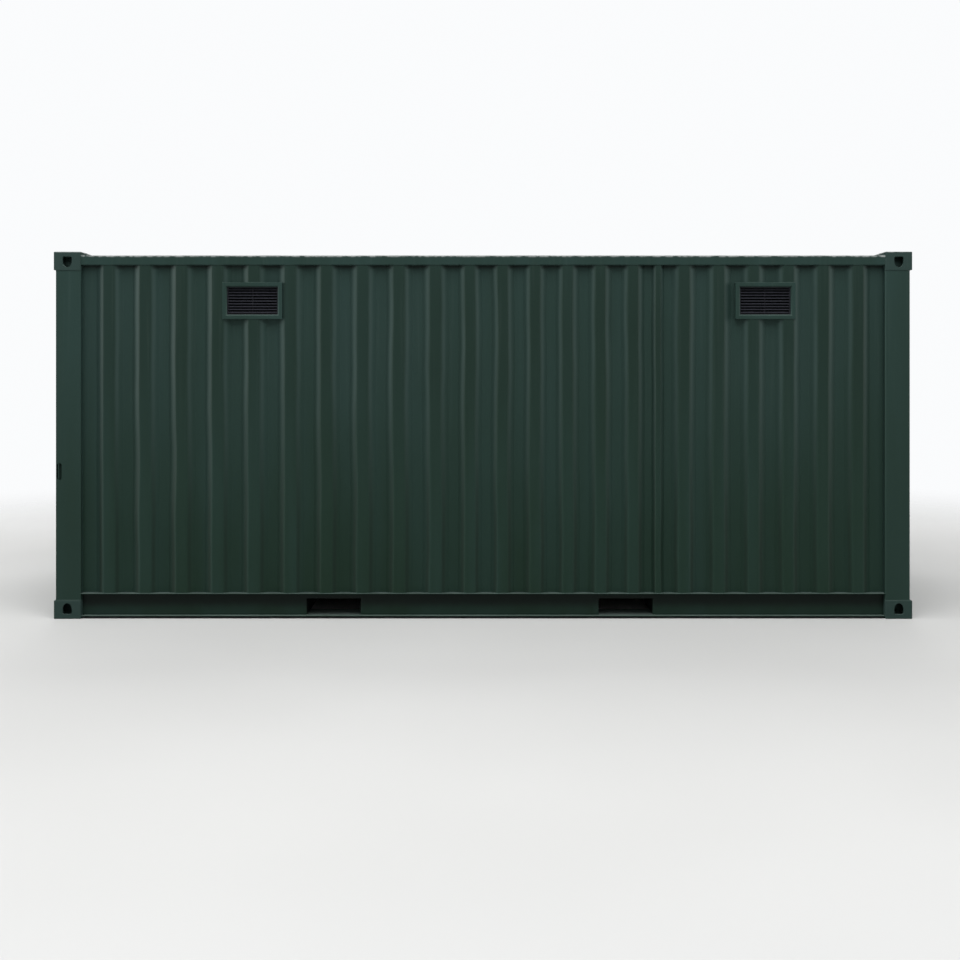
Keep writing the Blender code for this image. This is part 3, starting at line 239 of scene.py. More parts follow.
class Finish(Nodes):
    """One material, with the slot of the record that it belongs to."""

    def __init__(self, name, slot, constants=None):
        self.material = bpy.data.materials.new(name)
        self.material.use_nodes = True
        super().__init__(self.material.node_tree)
        self.shader = self.tree.nodes["Principled BSDF"]
        self.slot = slot
        for key, value in (constants or {}).items():
            self.shader.inputs[key].default_value = value

    def set(self, colour, roughness, height=None):
        """Feeds the shader. The height of the relief is in metres."""
        self.feed(self.shader.inputs["Base Color"], colour)
        self.feed(self.shader.inputs["Roughness"], roughness)
        if height:
            relief = self.add("ShaderNodeBump", None, {"Strength": 1.0, "Distance": 1.0, "Height": height})
            self.feed(self.shader.inputs["Normal"], relief)
        return self


print("shader helpers are ready")

# %% [markdown]
# ## Paint
#
# The container was sprayed dark green over its old coats. Such paint is satin and a little uneven
# from pass to pass. Its green is painted lighter towards the top, as painted light from above. Thin
# streaks run down from the top rail, and dust lies on what faces up. Painted light and shade are
# added on the folds, in the bottom rails' channels and along the top rims. A single flat green would
# look like plastic, and an image would not wrap round the folds, so each of these is a field of its
# own. The relief has two sizes: the grain of the spray, and the slow waves of thin pressed sheet.

# %% Paint finishes
GREEN = (0.0125, 0.0295, 0.0185, 1)
# lighter green: patchy tone goes towards it, and painted light, stronger towards the top
GREEN_LIGHTER = (0.0255, 0.0540, 0.0480, 1)
GREEN_FOLD_SHADE = (0.0088, 0.0180, 0.0125, 1)          # painted shade on the outermost folds, and on the flanks low down
GREEN_PALE = (0.0320, 0.0560, 0.0510, 1)           # a paler green: painted light in the recesses, and what pale mixes in
GREEN_FLANK_LIGHT = (0.0480, 0.0780, 0.0720, 1)        # painted light on the flanks of the folds
# a pale dust colour; where it is raised on the bottom rails and the foot welds, it is a painted highlight
DUST_AND_HIGHLIGHT = (0.125, 0.165, 0.150, 1)
RUST = (0.085, 0.030, 0.012, 1)
# near black: painted shade in the bottom rails' channels, the fork pockets and under the top rail
PAINTED_SHADE = (0.0040, 0.0062, 0.0052, 1)
# pale grey: painted highlight along the top rims of the top rails and castings
RIM_HIGHLIGHT = (0.420, 0.450, 0.440, 1)
CREST_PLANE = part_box("side_wall_far")[1].y          # the walls' outermost folds, from the middle
RAIL_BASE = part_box("top_side_rail_near")[0].z
RAIL_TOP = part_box("roof_panel")[0].z
SILL_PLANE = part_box("bottom_side_rail_far")[1].y    # the edges of the bottom rails' flanges
SHINE = 0.14                    # specular level: old satin paint in open shade
SHEEN = (0.80, 1.0, 0.92, 1)    # its gloss is milky, so it keeps some of the green
FOLD_CREST, FOLD_RECESS = 0.001, 0.026          # metres in behind the crests
UPPER_FROM, UPPER_TO = 0.4, 2.1                   # heights between which the streaks and the painted light and shade on the folds set in
RAIL_SHADOW_FROM, RAIL_SHADOW_FULL = 0.040, 0.014             # metres below the top rail: its painted shadow begins, and is full
CHANNEL_SHADE_FROM, CHANNEL_SHADE_FULL = 0.008, 0.020     # metres in behind the bottom rail's flanges: the painted shade begins, and is full
FLANGE_SHADE_FROM, FLANGE_SHADE_FULL = 0.050, 0.125       # heights: the painted shade grows up to the upper flange
HIGHLIGHT_FROM, HIGHLIGHT_FULL = 0.0055, 0.0015         # metres below a rim: where the painted highlight begins, and where it is full
HIGHLIGHT_FADES, HIGHLIGHT_ENDS = 0.006, 0.012          # metres above it: where the painted highlight starts to fade, and where it ends


def depth_into(paint, plane, shallow, deep):
    """From 0 to 1 as a surface lies further in behind a plane of the long sides."""
    return paint.ramp(paint.absolute(paint.along("Y")), plane - shallow, plane - deep)


def shade_in_channel(paint, colour, amount, height, blotch):
    """Painted shade in the open channel of a bottom rail, darkest right under its upper flange."""
    inside = depth_into(paint, SILL_PLANE, CHANNEL_SHADE_FROM, CHANNEL_SHADE_FULL)
    under_flange = paint.ramp(height + blotch * 0.010, FLANGE_SHADE_FROM, FLANGE_SHADE_FULL)
    return paint.mix(inside * (under_flange * 0.75 + 0.25) * amount, colour, PAINTED_SHADE)


def paint_fold_light(paint, colour, amount, height, slow, blotch):
    """Painted shade on crests and low flanks, painted light in recesses and high flanks, and the rail's
    painted shadow.
    """
    deep = depth_into(paint, CREST_PLANE, FOLD_CREST, FOLD_RECESS)
    flank = deep * (1 - deep) * 4
    higher_up = paint.ramp(height, UPPER_FROM, UPPER_TO)
    # painted shade on crests high up and flanks low down, painted light in recesses and on flanks high up
    colour = paint.mix((1 - deep) * higher_up * 0.52 + flank * (1 - higher_up) * 0.72, colour, GREEN_FOLD_SHADE)
    colour = paint.mix(deep * higher_up * (slow * 0.20 + 0.22), colour, GREEN_PALE)
    colour = paint.mix(flank * higher_up * (slow * 0.20 + 0.42), colour, GREEN_FLANK_LIGHT)
    ragged_height = height - deep * 0.010 + blotch * 0.008
    # the painted shadow of the top rail in the recesses, with a ragged edge
    rail_shadow = deep * paint.ramp(ragged_height, RAIL_BASE - RAIL_SHADOW_FROM, RAIL_BASE - RAIL_SHADOW_FULL)
    return paint.mix(rail_shadow * amount, colour, PAINTED_SHADE)


def paint_rim_highlight(paint, colour, amount, top, height, faces_up):
    """A painted highlight: a narrow pale band along a rim at a height, weaker on what faces up."""
    breakup = paint.ramp(paint.noise(0.045, detail=5, seed=19), 0.36, 0.60)
    rim = paint.ramp(height + breakup * 0.002, top - HIGHLIGHT_FROM, top - HIGHLIGHT_FULL)
    rim = rim * paint.ramp(height, top + HIGHLIGHT_ENDS, top + HIGHLIGHT_FADES) * (1 - faces_up * 0.75)
    return paint.mix(rim * breakup * amount, colour, RIM_HIGHLIGHT)


def rusty_chips(paint, colour, amount):
    """Small chips, in a few places only, where rust shows through."""
    chips = paint.ramp(paint.noise(0.011, detail=6, seed=11), 0.66, 0.70)
    chips = chips * paint.ramp(paint.noise(0.16, detail=2, seed=13), 0.50, 0.66)
    return paint.mix(chips * amount, colour, RUST)


def painted(name, slot, dust_and_highlight=0.45, wave=0.0012, grain=0.00003, rough=0.44, worn=0.0, channel_shade=0.0,
            fold_light=0.0, chalky=0.0, chalk_top=RAIL_TOP, pale=0.0):
    """Satin green paint, with its streaks, dust and relief, and with painted light, shade and highlights.
    """
    paint = Finish(name, slot, {"Specular IOR Level": SHINE, "Specular Tint": SHEEN, "Metallic": 0.0})
    height = paint.along("Z")
    slow = paint.ramp(paint.noise(0.9, (1, 1, 1.8), detail=4), 0.32, 0.68)
    bands = paint.ramp(paint.noise(0.16, (1, 1, 16), detail=2, seed=3), 0.35, 0.70)
    runs = paint.ramp(paint.noise(0.020, (1, 1, 45), detail=3, seed=5), 0.50, 0.80)
    runs = runs * paint.ramp(height, UPPER_FROM, CAD_HIGH.z)
    specks = paint.ramp(paint.noise(0.006, detail=2, seed=7), 0.62, 0.80)
    faces_up = paint.ramp(paint.facing("Z"), 0.30, 0.85)
    blotch = paint.ramp(paint.noise(0.07, detail=5, seed=9), 0.30, 0.75)
    # patchy tone, and painted light that makes the green lighter towards the top
    lighter_share = slow * 0.25 + bands * 0.25 + paint.ramp(height, 0.1, CAD_HIGH.z) * 0.50
    # dust on what faces up; raised high, as on the bottom rails and foot welds, it is a painted highlight
    dust_and_highlight_share = faces_up * (blotch * 0.22 + slow * 0.28 + 0.45) * dust_and_highlight + runs * 0.07 + specks * 0.015
    colour = paint.mix(lighter_share, GREEN, GREEN_LIGHTER)
    if pale:
        colour = paint.mix(pale, colour, GREEN_PALE)
    if channel_shade:
        colour = shade_in_channel(paint, colour, channel_shade, height, blotch)
    if fold_light:
        colour = paint_fold_light(paint, colour, fold_light, height, slow, blotch)
    colour = paint.mix(dust_and_highlight_share, colour, DUST_AND_HIGHLIGHT)
    if chalky:
        colour = paint_rim_highlight(paint, colour, chalky, chalk_top, height, faces_up)
    if worn:
        colour = rusty_chips(paint, colour, worn)
    roughness = rough + dust_and_highlight_share * 0.5 + slow * 0.06
    sprayed = paint.noise(0.0022, detail=2, seed=15) * grain
    waved = paint.noise(0.33, (1, 1, 1.7), detail=2, seed=17) * wave
    return paint.set(colour, roughness, sprayed + waved)


# the walls: painted light and shade on their folds, and a painted shadow under the top rail
wall_paint = painted("wall_paint", "green_paint", fold_light=0.90)
frame_paint = painted("frame_paint", "green_paint", wave=0.0004, worn=0.12, rough=0.40, pale=0.22)
# the bottom rails: painted shade in their channel, and dust raised into a painted highlight on their
# flanges' tops
rail_paint = painted("rail_paint", "green_paint", dust_and_highlight=0.95, wave=0.0004, worn=0.12, channel_shade=0.98)
# the fork pockets: black all over inside, as painted shade
pocket_paint = painted("pocket_paint", "green_paint", dust_and_highlight=0.90, wave=0.0004, channel_shade=4.0)
# the top rails: painted highlight along their top edge
top_rail_paint = painted(
    "top_rail_paint", "green_paint", wave=0.0004, worn=0.12, rough=0.40, chalky=0.95, pale=0.12)
roof_paint = painted("roof_paint", "green_paint", dust_and_highlight=0.60, wave=0.0020)
# the castings: painted highlight along their top rim
casting_paint = painted(
    "cast_steel_paint", "casting_paint", wave=0.0, grain=0.00035, rough=0.50, worn=0.20, pale=0.85,
    chalky=0.55, chalk_top=CAD_HIGH.z)
weld_paint = painted("weld_paint", "green_paint", wave=0.0, grain=0.0006, rough=0.42, pale=0.60)
# the foot welds: a pale green and raised dust, as a painted highlight along the foot of the walls
foot_weld_paint = painted("foot_weld_paint", "green_paint", dust_and_highlight=1.30, wave=0.0, grain=0.0006, pale=1.0)
print("paints:", [m.name for m in bpy.data.materials if "paint" in m.name])

# %% [markdown]
# ## The chalky roof line
#
# Where the roof sheet is welded down on the top rail, a bead runs along it. Its pale finish is a
# painted highlight, and the rail's own top edge carries a painted highlight beside it. It is a pale
# line that breaks up here and there. It is the brightest thing on the container, and draws its top
# edge from one corner to the other.

# %% Roof line highlight
HIGHLIGHT_DIM = (0.150, 0.175, 0.165, 1)
HIGHLIGHT_BRIGHT = (0.520, 0.540, 0.530, 1)
# a pale finish for the beads along the roof line and the corner plates: painted highlight, broken up here
# and there
edge_highlight = Finish("chalky_bead", "green_paint", {"Specular IOR Level": 0.2, "Metallic": 0.0})
breaks = edge_highlight.ramp(edge_highlight.noise(0.10, detail=4, seed=2), 0.40, 0.62)
flecks = edge_highlight.ramp(edge_highlight.noise(0.012, detail=4, seed=6), 0.30, 0.70)
highlight_colour = edge_highlight.mix(breaks * 0.6 + flecks * 0.4, HIGHLIGHT_DIM, HIGHLIGHT_BRIGHT)
edge_highlight.set(highlight_colour, 0.75 + flecks * 0.1, edge_highlight.noise(0.003, detail=3, seed=8) * 0.0004)
print("chalky bead is ready")

# %% [markdown]
# ## Zinc, grille, rubber and plywood
#
# The locking gear is hot-dip galvanised: zinc crystals leave patches of slightly different grey,
# which is a Voronoi pattern, and the metal dulls unevenly. The vent slats are black and dusty. The
# door seals are dull rubber. The floor is plywood with its grain along the box.

# %% Other finishes
ZINC_DULL, ZINC_BRIGHT = (0.20, 0.21, 0.215, 1), (0.31, 0.32, 0.325, 1)
ZINC_STAIN = (0.13, 0.12, 0.10, 1)
SLAT_BLACK, SLAT_DUST = (0.0150, 0.0158, 0.0210, 1), (0.075, 0.080, 0.098, 1)
RUBBER_BLACK, RUBBER_BLOOM = (0.012, 0.012, 0.013, 1), (0.060, 0.060, 0.058, 1)
PLY_DARK, PLY_PALE = (0.17, 0.085, 0.038, 1), (0.36, 0.215, 0.11, 1)

zinc = Finish("zinc", "galvanised_steel", {"Metallic": 0.85})
crystals = zinc.add("ShaderNodeTexVoronoi", None, {"Vector": zinc.place(), "Scale": 130.0}, "Color")
patch = zinc.along("X", crystals)
stain = zinc.ramp(zinc.noise(0.05, (1, 1, 3), detail=5, seed=2), 0.45, 0.75)
metal = zinc.mix(patch * 0.5, ZINC_DULL, ZINC_BRIGHT)
metal = zinc.mix(stain * 0.45, metal, ZINC_STAIN)
zinc.set(metal, 0.38 + patch * 0.10 + stain * 0.22, zinc.noise(0.004, detail=3, seed=4) * 0.00012)

grille_black = Finish("grille_black", "black_grille", {"Metallic": 0.0, "Specular IOR Level": 0.18})
settled = grille_black.ramp(grille_black.noise(0.012, detail=4), 0.35, 0.75)
dusty_top = grille_black.ramp(grille_black.facing("Z"), 0.1, 0.8) * (settled * 0.6 + 0.4)
slat_colour = grille_black.mix(dusty_top * 0.5, SLAT_BLACK, SLAT_DUST)
grille_black.set(slat_colour, 0.52 + settled * 0.15, grille_black.noise(0.003, detail=2) * 0.00006)

rubber = Finish("seal_rubber", "seal_rubber", {"Metallic": 0.0, "Specular IOR Level": 0.35})
bloom = rubber.ramp(rubber.noise(0.03, (1, 1, 3), detail=5), 0.40, 0.75)
rubber_colour = rubber.mix(bloom * 0.35, RUBBER_BLACK, RUBBER_BLOOM)
rubber.set(rubber_colour, 0.62 + bloom * 0.2, rubber.noise(0.002, detail=2) * 0.00008)

plywood = Finish("floor_plywood", "floor_plywood", {"Metallic": 0.0})
grain = plywood.noise(0.012, (30, 1, 1), detail=6)
figure = plywood.ramp(plywood.noise(0.06, (9, 1, 1), detail=3, seed=5), 0.3, 0.7)
ply_colour = plywood.mix(grain * 0.6 + figure * 0.4, PLY_DARK, PLY_PALE)
plywood.set(ply_colour, 0.55 + grain * 0.2, grain * 0.0005)
print("materials:", len([m for m in bpy.data.materials if m.use_nodes]))

# %% [markdown]
# ## Rounded copies
#
# A solid of the frame has knife-sharp edges, as drawn. Real edges catch a line of light, because
# they are rolled, cast or ground. A Bevel modifier on the whole piece would also round cuts and
# seams that stay sharp, so a copy is merged, its flat triangles are melted into whole faces, and
# only chosen edges are bevelled in edit mode. Weighted normals then keep the flats flat.

# %% Copy, round and finish
FLAT = math.radians(0.5)
SHARP = math.radians(25)
SMOOTH = math.radians(38)
SHORTEST = 0.02                 # metres; shorter edges stay sharp


def copy_of(node, name):
    """Copies a node's mesh, merges its loose triangles into whole faces, and stays in edit mode."""
    piece = bpy.data.objects.new(name, NODES[node].data.copy())
    bpy.context.scene.collection.objects.link(piece)
    alone(piece)
    bpy.ops.mesh.customdata_custom_splitnormals_clear()
    mode("EDIT")
    bpy.ops.mesh.select_all(action="SELECT")
    bpy.ops.mesh.remove_doubles(threshold=NEAR_ZERO)
    bpy.ops.mesh.dissolve_limited(angle_limit=FLAT)
    return piece


def round_edges(piece, radius, segments, test):
    """Rounds, in edit mode, the edges that a test picks."""
    if pick(piece, "EDGE", test):
        bpy.ops.mesh.bevel(offset=radius, segments=segments, profile=0.5, clamp_overlap=True)


def give(piece, paint, *stands_for):
    """Shades a finished piece, gives it its material and ties it to the frame."""
    if bpy.context.mode != "OBJECT":
        mode("OBJECT")
    alone(piece)
    bpy.ops.object.shade_smooth_by_angle(angle=SMOOTH)
    bpy.ops.object.modifier_add(type="WEIGHTED_NORMAL")
    piece.modifiers[-1].keep_sharp = True
    bpy.ops.object.modifier_apply(modifier=piece.modifiers[-1].name)
    piece.data.materials.clear()
    piece.data.materials.append(paint.material)
    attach(piece, BODY)
    if stands_for:
        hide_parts(*stands_for)
    return piece


def rounded(node, paint, radius, segments=2, shortest=SHORTEST):
    """A copy of a node with its sharp edges rounded, apart from those that are too short."""
    piece = copy_of(node, node + "_finished")
    round_edges(piece, radius, segments,
                lambda edge: is_sharp(edge, SHARP) and edge.calc_length() >= shortest)
    return give(piece, paint, node)


print("rounding helpers are ready")

# %% [markdown]
# ## Corner castings
#
# The eight castings carry the whole box. They are poured in sand, so their outer edges are well
# rounded, their holes have softened rims and their skin is rough. The rims are rounded first: they
# are the sharp edges that lie in only one of the outer planes. The edges of the outer box, which lie
# in two, follow with a larger radius of their own.

# %% Castings
CASTING_ROUND = 0.006
RIM_ROUND = 0.0025


def corner_casting(node):
    low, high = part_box(node)
    piece = copy_of(node, node + "_finished")

    def planes(point):
        """The outer planes of the casting that a point lies in."""
        return {
            (axis, side)
            for axis in range(3)
            for side, corner in enumerate((low, high))
            if abs(point[axis] - corner[axis]) < IN_PLANE
        }

    def on_box_edge(edge):
        ends = [planes(vertex.co) for vertex in edge.verts]
        return len(ends[0] & ends[1]) == 2

    def on_rim(edge):
        ends = [planes(vertex.co) for vertex in edge.verts]
        return len(ends[0] & ends[1]) == 1 and is_sharp(edge, SHARP)

    round_edges(piece, RIM_ROUND, 2, on_rim)
    round_edges(piece, CASTING_ROUND, 3, on_box_edge)
    return give(piece, casting_paint, node)


castings = [corner_casting(node) for node in sorted(NODES) if node.startswith("casting_")]
print("castings:", len(castings), "faces each:", len(castings[0].data.polygons))

# %% [markdown]
# ## Posts, rails and beams
#
# These are pressed or rolled from plate 3 to 8 mm thick. A brake leaves a small outer radius on each
# long bend, while the sawn ends stay sharp, so only edges longer than a hand's width are rounded.

# %% Posts, rails and beams
LONG_EDGE = 0.10
FRAME_ROUNDS = {
    "front_post_near": 0.005, "front_post_far": 0.005,
    "door_post_near": 0.005, "door_post_far": 0.005,
    "front_header": 0.004, "front_sill": 0.0022,
    "door_header": 0.004, "door_sill": 0.004,
}
TOP_ROUNDS = {"top_side_rail_near": 0.007, "top_side_rail_far": 0.007}
LOW_ROUNDS = {"bottom_side_rail_near": 0.0022, "bottom_side_rail_far": 0.0022}
POCKET_ROUNDS = {"fork_pocket_left": 0.0015, "fork_pocket_right": 0.0015}
framework = {}
for rounds, paint in ((FRAME_ROUNDS, frame_paint), (TOP_ROUNDS, top_rail_paint),
                      (LOW_ROUNDS, rail_paint), (POCKET_ROUNDS, pocket_paint)):
    framework.update({node: rounded(node, paint, size, 3, LONG_EDGE) for node, size in rounds.items()})
print("posts, rails and beams:", len(framework))

# %% [markdown]
# ## Pressed walls and roof
#
# The walls are 2 mm sheet, pressed into upright waves, and the roof is stamped with ribs across it.
# Their long bends have a soft radius. That radius matters most in this view: it draws the thin
# upright lines of light beside each wave. The rims round the vents stay sharp, since they were cut.
#
# The photograph also shows that the sheet is no longer true: its folds wander by a few millimetres
# after years of knocks. So the side walls are cut level at many heights, and a soft procedural noise
# moves them sideways and in and out. A vertex group holds them still along their welds and round the
# vents. Applying a modifier may move the group in memory, so the code keeps its name and not the
# group.

# %% Walls and roof
BEND = 0.006
RIB_BEND = 0.009
SHORTEST_RIB = 0.05
LEAST_BEND = math.radians(10)
MOST_BEND = math.radians(80)
STRAIGHT = 0.999                # a direction with this share along an axis runs along it
RIM_CLEAR = 0.008               # beside a vent, a bend closer than this to its rim stays sharp
vent_boxes = [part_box(node) for node in sorted(NODES) if node.startswith("vent_frame")]


def is_upright(edge):
    along = edge.verts[1].co - edge.verts[0].co
    return abs(along.z) > STRAIGHT * along.length


def is_bend(edge):
    """True at a fold of the sheet, and not at its cut rim, which is square."""
    return is_sharp(edge, LEAST_BEND) and edge.calc_face_angle() < MOST_BEND


def beside_vent(edge):
    """True for the part of a bend that runs close beside a vent's rim."""
    middle = (edge.verts[0].co + edge.verts[1].co) / 2
    for low, high in vent_boxes:
        near_rim = min(abs(middle.x - low.x), abs(middle.x - high.x)) < RIM_CLEAR
        if near_rim and low.z - RIM_CLEAR < middle.z < high.z + RIM_CLEAR:
            return True
    return False


LEVELS = 16
WANDER = {                      # direction: metres between the extremes, and size of the noise
    "X": (0.016, 0.70),
    "Y": (0.008, 0.36),
}
HELD = 0.06                     # within this distance of a weld the sheet doesn't move
FREE = 0.30                     # beyond this distance it moves fully
FREEDOM = "freedom"             # name of the vertex group that says how far a point may move


def freedom(place, low, high):
    """From 0, at a weld or a vent, to 1, far from all of them."""
    gaps = [place.z - low.z, high.z - place.z, place.x - low.x, high.x - place.x]
    for vent_low, vent_high in vent_boxes:
        sideways = max(vent_low.x - place.x, place.x - vent_high.x)
        upright = max(vent_low.z - place.z, place.z - vent_high.z)
        gaps.append(max(sideways, upright))
    return min(1.0, max(0.0, (min(gaps) - HELD) / (FREE - HELD)))


def wander(piece, low, high):
    """Lets a wall's folds wander, apart from where they are held."""
    group = piece.vertex_groups.new(name=FREEDOM)
    for vertex in piece.data.vertices:
        group.add([vertex.index], freedom(vertex.co, low, high), "REPLACE")
    for direction, (size, scale) in WANDER.items():
        knocks = bpy.data.textures.new("knocks_" + direction, "CLOUDS")
        knocks.noise_scale = scale
        knocks.noise_depth = 1
        bpy.ops.object.modifier_add(type="DISPLACE")
        move = piece.modifiers[-1]
        move.texture = knocks
        move.texture_coords = "LOCAL"
        move.direction = direction
        move.strength = size
        move.mid_level = 0.5
        move.vertex_group = FREEDOM
        bpy.ops.object.modifier_apply(modifier=move.name)
    piece.vertex_groups.clear()


def cut_level(heights):
    """Cuts a piece, in edit mode, at each height, and takes nothing away."""
    for height in heights:
        bpy.ops.mesh.select_all(action="SELECT")
        bpy.ops.mesh.bisect(plane_co=(0, 0, height), plane_no=(0, 0, 1))


def wall(node):
    """A wall with rounded upright bends. A side wall is first cut level above and below its vents."""
    piece = copy_of(node, node + "_finished")
    low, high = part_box(node)
    is_side = node.startswith("side")
    if is_side:
        vent_low, vent_high = vent_boxes[0]
        cut_level([vent_low.z - RIM_CLEAR, vent_high.z + RIM_CLEAR])
    round_edges(piece, BEND, 3, lambda edge: is_upright(edge) and is_bend(edge) and not beside_vent(edge))
    if is_side:
        cut_level([low.z + (high.z - low.z) * step / LEVELS for step in range(1, LEVELS)])
        mode("OBJECT")
        wander(piece, low, high)
    return give(piece, wall_paint, node)


walls = [wall(node) for node in ("side_wall_near", "side_wall_far", "front_wall")]
roof = copy_of("roof_panel", "roof_panel_finished")
round_edges(roof, RIB_BEND, 3, lambda edge: is_bend(edge) and edge.calc_length() > SHORTEST_RIB)
give(roof, roof_paint, "roof_panel")
print("wall faces:", [len(piece.data.polygons) for piece in walls], "roof:", len(roof.data.polygons))

# %% [markdown]
# ## Weld beads
#
# Everything here is welded, and a bead runs along each of the main seams: where the wall stands on
# its rail and hangs from the rail above, down both ends, at the feet and heads of the posts and round
# the vent frames. A bead could be drawn as a new curve, but the seam is already an edge of a piece.
# So the edge is duplicated, separated, made a curve, given round depth and made a mesh again.

# %% Beads along edges
BEAD = 0.0035
OUTWARD = 0.3                   # least share of a normal along a way, where a face looks that way


def bead_along(piece, name, test, radius=BEAD, paint=weld_paint):
    """A weld bead along the edges of a piece that a test picks."""
    alone(piece)
    mode("EDIT")
    count = pick(piece, "EDGE", test)
    bpy.ops.mesh.duplicate()
    bpy.ops.mesh.separate(type="SELECTED")
    mode("OBJECT")
    bead = next(other for other in bpy.context.selected_objects if other is not piece)
    bead.name = name
    bead.parent = None
    for tag in [tag for tag in bead.keys() if tag.startswith("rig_")]:    # these speak of the first piece
        del bead[tag]
    alone(bead)
    bpy.ops.object.convert(target="CURVE")
    bead.data.bevel_depth = radius
    bead.data.bevel_resolution = 1
    bead.data.use_fill_caps = True
    bpy.ops.object.convert(target="MESH")
    print(name, "follows", count, "edges")
    return give(bead, paint)


def both_at(edge, axis, place):
    """True where both ends of an edge lie in a plane."""
    return all(abs(vertex.co[axis] - place) < IN_PLANE for vertex in edge.verts)


def faces_out(edge, axis, way):
    return any(face.normal[axis] * way > OUTWARD for face in edge.link_faces)


for piece, axis, way in zip(walls, (1, 1, 0), (-1, 1, 1)):
    node = piece.name.replace("_finished", "")
    low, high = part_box(node)
    for word, level, paint in (("foot", low.z, foot_weld_paint), ("head", high.z, weld_paint)):
        bead_along(piece, f"{node}_{word}_weld",
                   lambda edge: both_at(edge, 2, level) and faces_out(edge, axis, way), BEAD, paint)
    along = 1 - axis
    bead_along(piece, f"{node}_end_welds",
               lambda edge: is_upright(edge) and faces_out(edge, axis, way)
               and (both_at(edge, along, low[along]) or both_at(edge, along, high[along])))

# %% [markdown]
# ## Beads of the posts and the roof
#
# The posts are welded to the castings at their feet and heads. The roof sheet lies on the two top
# rails with a bead along its edge, and the corner plates have one along their slope. These are also
# edges that the pieces already have.

# %% Post, roof and corner plate beads
POST_BEAD = 0.0040
ROOF_BEAD = 0.0048
PLATE_BEAD = 0.0030
LEAST_SLOPE_SHARE = 0.1         # a slope rises at least this share of its length
LEAST_RUN_SHARE = 0.5           # and runs on along the roof for at least this share
PLATE_DROP = 0.010              # it ends this far below the header's top, at most
PLATE_SIDE_IN = 0.020           # and lies this far in from the side, at most
HEADER_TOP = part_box("front_header")[1].z
for node in ("front_post_near", "front_post_far", "door_post_near", "door_post_far"):
    low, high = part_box(node)
    side = 1 if low.y > 0 else -1
    end = 1 if low.x > 0 else -1
    bead_along(framework[node], node + "_welds",
               lambda edge: (both_at(edge, 2, low.z) or both_at(edge, 2, high.z))
               and (faces_out(edge, 1, side) or faces_out(edge, 0, end)), POST_BEAD)

roof_low, roof_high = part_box("roof_panel")
# the roof's weld beads take the painted highlight finish
for word, side in (("near", roof_low.y), ("far", roof_high.y)):
    bead_along(roof, f"roof_{word}_weld",
               lambda edge: both_at(edge, 1, side) and faces_out(edge, 2, 1), ROOF_BEAD, edge_highlight)


def on_corner_slope(edge):
    """Picks the outer edge of a corner plate: it slopes, and lies beside the plate's closed side."""
    along = edge.verts[1].co - edge.verts[0].co
    rises = abs(along.z) > LEAST_SLOPE_SHARE * along.length
    slopes = rises and abs(along.x) > LEAST_RUN_SHARE * along.length
    high = min(vertex.co.z for vertex in edge.verts) > HEADER_TOP - PLATE_DROP
    outer = max(abs(vertex.co.y) for vertex in edge.verts) > CAD_HIGH.y - PLATE_SIDE_IN
    return slopes and high and outer and faces_out(edge, 2, 1)


# the corner plates' beads take the painted highlight finish too
for node in ("top_side_rail_near", "top_side_rail_far"):
    bead_along(framework[node], node + "_plate_welds", on_corner_slope, PLATE_BEAD, edge_highlight)

# %% [markdown]
# ## Vents
#
# Each long side has two framed louvres, cut into the corrugation near the top. The frame is bent
# strip, so its edges are eased, and the slats behind it are thin and black. The seam between frame
# and wall is a bead round the back of the frame, along the rim that was cut into the wall.

# %% Vent frames and grilles
VENT_ROUND = 0.0018
VENT_BEAD = 0.0030
RIM_SLACK = 0.001               # a rim this close to the frame's box belongs to that vent
for node in sorted(NODES):
    if node.startswith("vent_frame"):
        rounded(node, frame_paint, VENT_ROUND, 2)
    if node.startswith("vent_grille"):
        give(copy_of(node, node + "_finished"), grille_black, node)
print("vents:", len(vent_boxes))


def on_vent_rim(side):
    """Picks the edges of a wall's cut rim round its vents, on the face that looks outwards."""

    def test(edge):
        if not faces_out(edge, 1, side) or not is_sharp(edge, MOST_BEND):
            return False
        middle = (edge.verts[0].co + edge.verts[1].co) / 2
        for low, high in vent_boxes:
            gap = max(low.x - middle.x, middle.x - high.x, low.z - middle.z, middle.z - high.z)
            if abs(gap) < RIM_SLACK and middle.y * side > 0:
                return True
        return False

    return test


for piece, side in ((walls[0], -1), (walls[1], 1)):
    bead_along(piece, piece.name.replace("_finished", "_vent_welds"), on_vent_rim(side), VENT_BEAD)

# %% [markdown]
# ## Doors
#
# The leaves, seals and locking gear fill the end at the left. The leaves are painted with the box.
# The bars and handles are bare zinc. A bar is drawn with few sides in the frame, so it gets a sleeve
# that is a true round, while the cams and hubs keep their own shapes, with their edges eased.

# %% Leaves, seals, bars and handles
LEAF_ROUND = 0.0015
SEAL_ROUND = 0.004
HANDLE_ROUND, HANDLE_SHORTEST = 0.0020, 0.004   # edges shorter than this stay as they are
CATCH_ROUND, CATCH_SHORTEST = 0.0010, 0.030
CAM_ROUND, CAM_SHORTEST = 0.0012, 0.008
CAM_CORNER = math.radians(64)   # a real corner of a cam or hub, and not a facet of its round parts
BAR_END_ROUND = 0.0015
BAR_SIDES = 36
for node in ("door_leaf_near", "door_leaf_far"):
    rounded(node, frame_paint, LEAF_ROUND, 2, LONG_EDGE)
for node in ("door_gasket_near", "door_gasket_far"):
    rounded(node, rubber, SEAL_ROUND, 3, LONG_EDGE)
for node in sorted(NODES):
    if node.startswith("door_handle"):
        rounded(node, zinc, HANDLE_ROUND, 2, HANDLE_SHORTEST)
    if node.startswith("handle_catch"):
        rounded(node, frame_paint, CATCH_ROUND, 2, CATCH_SHORTEST)


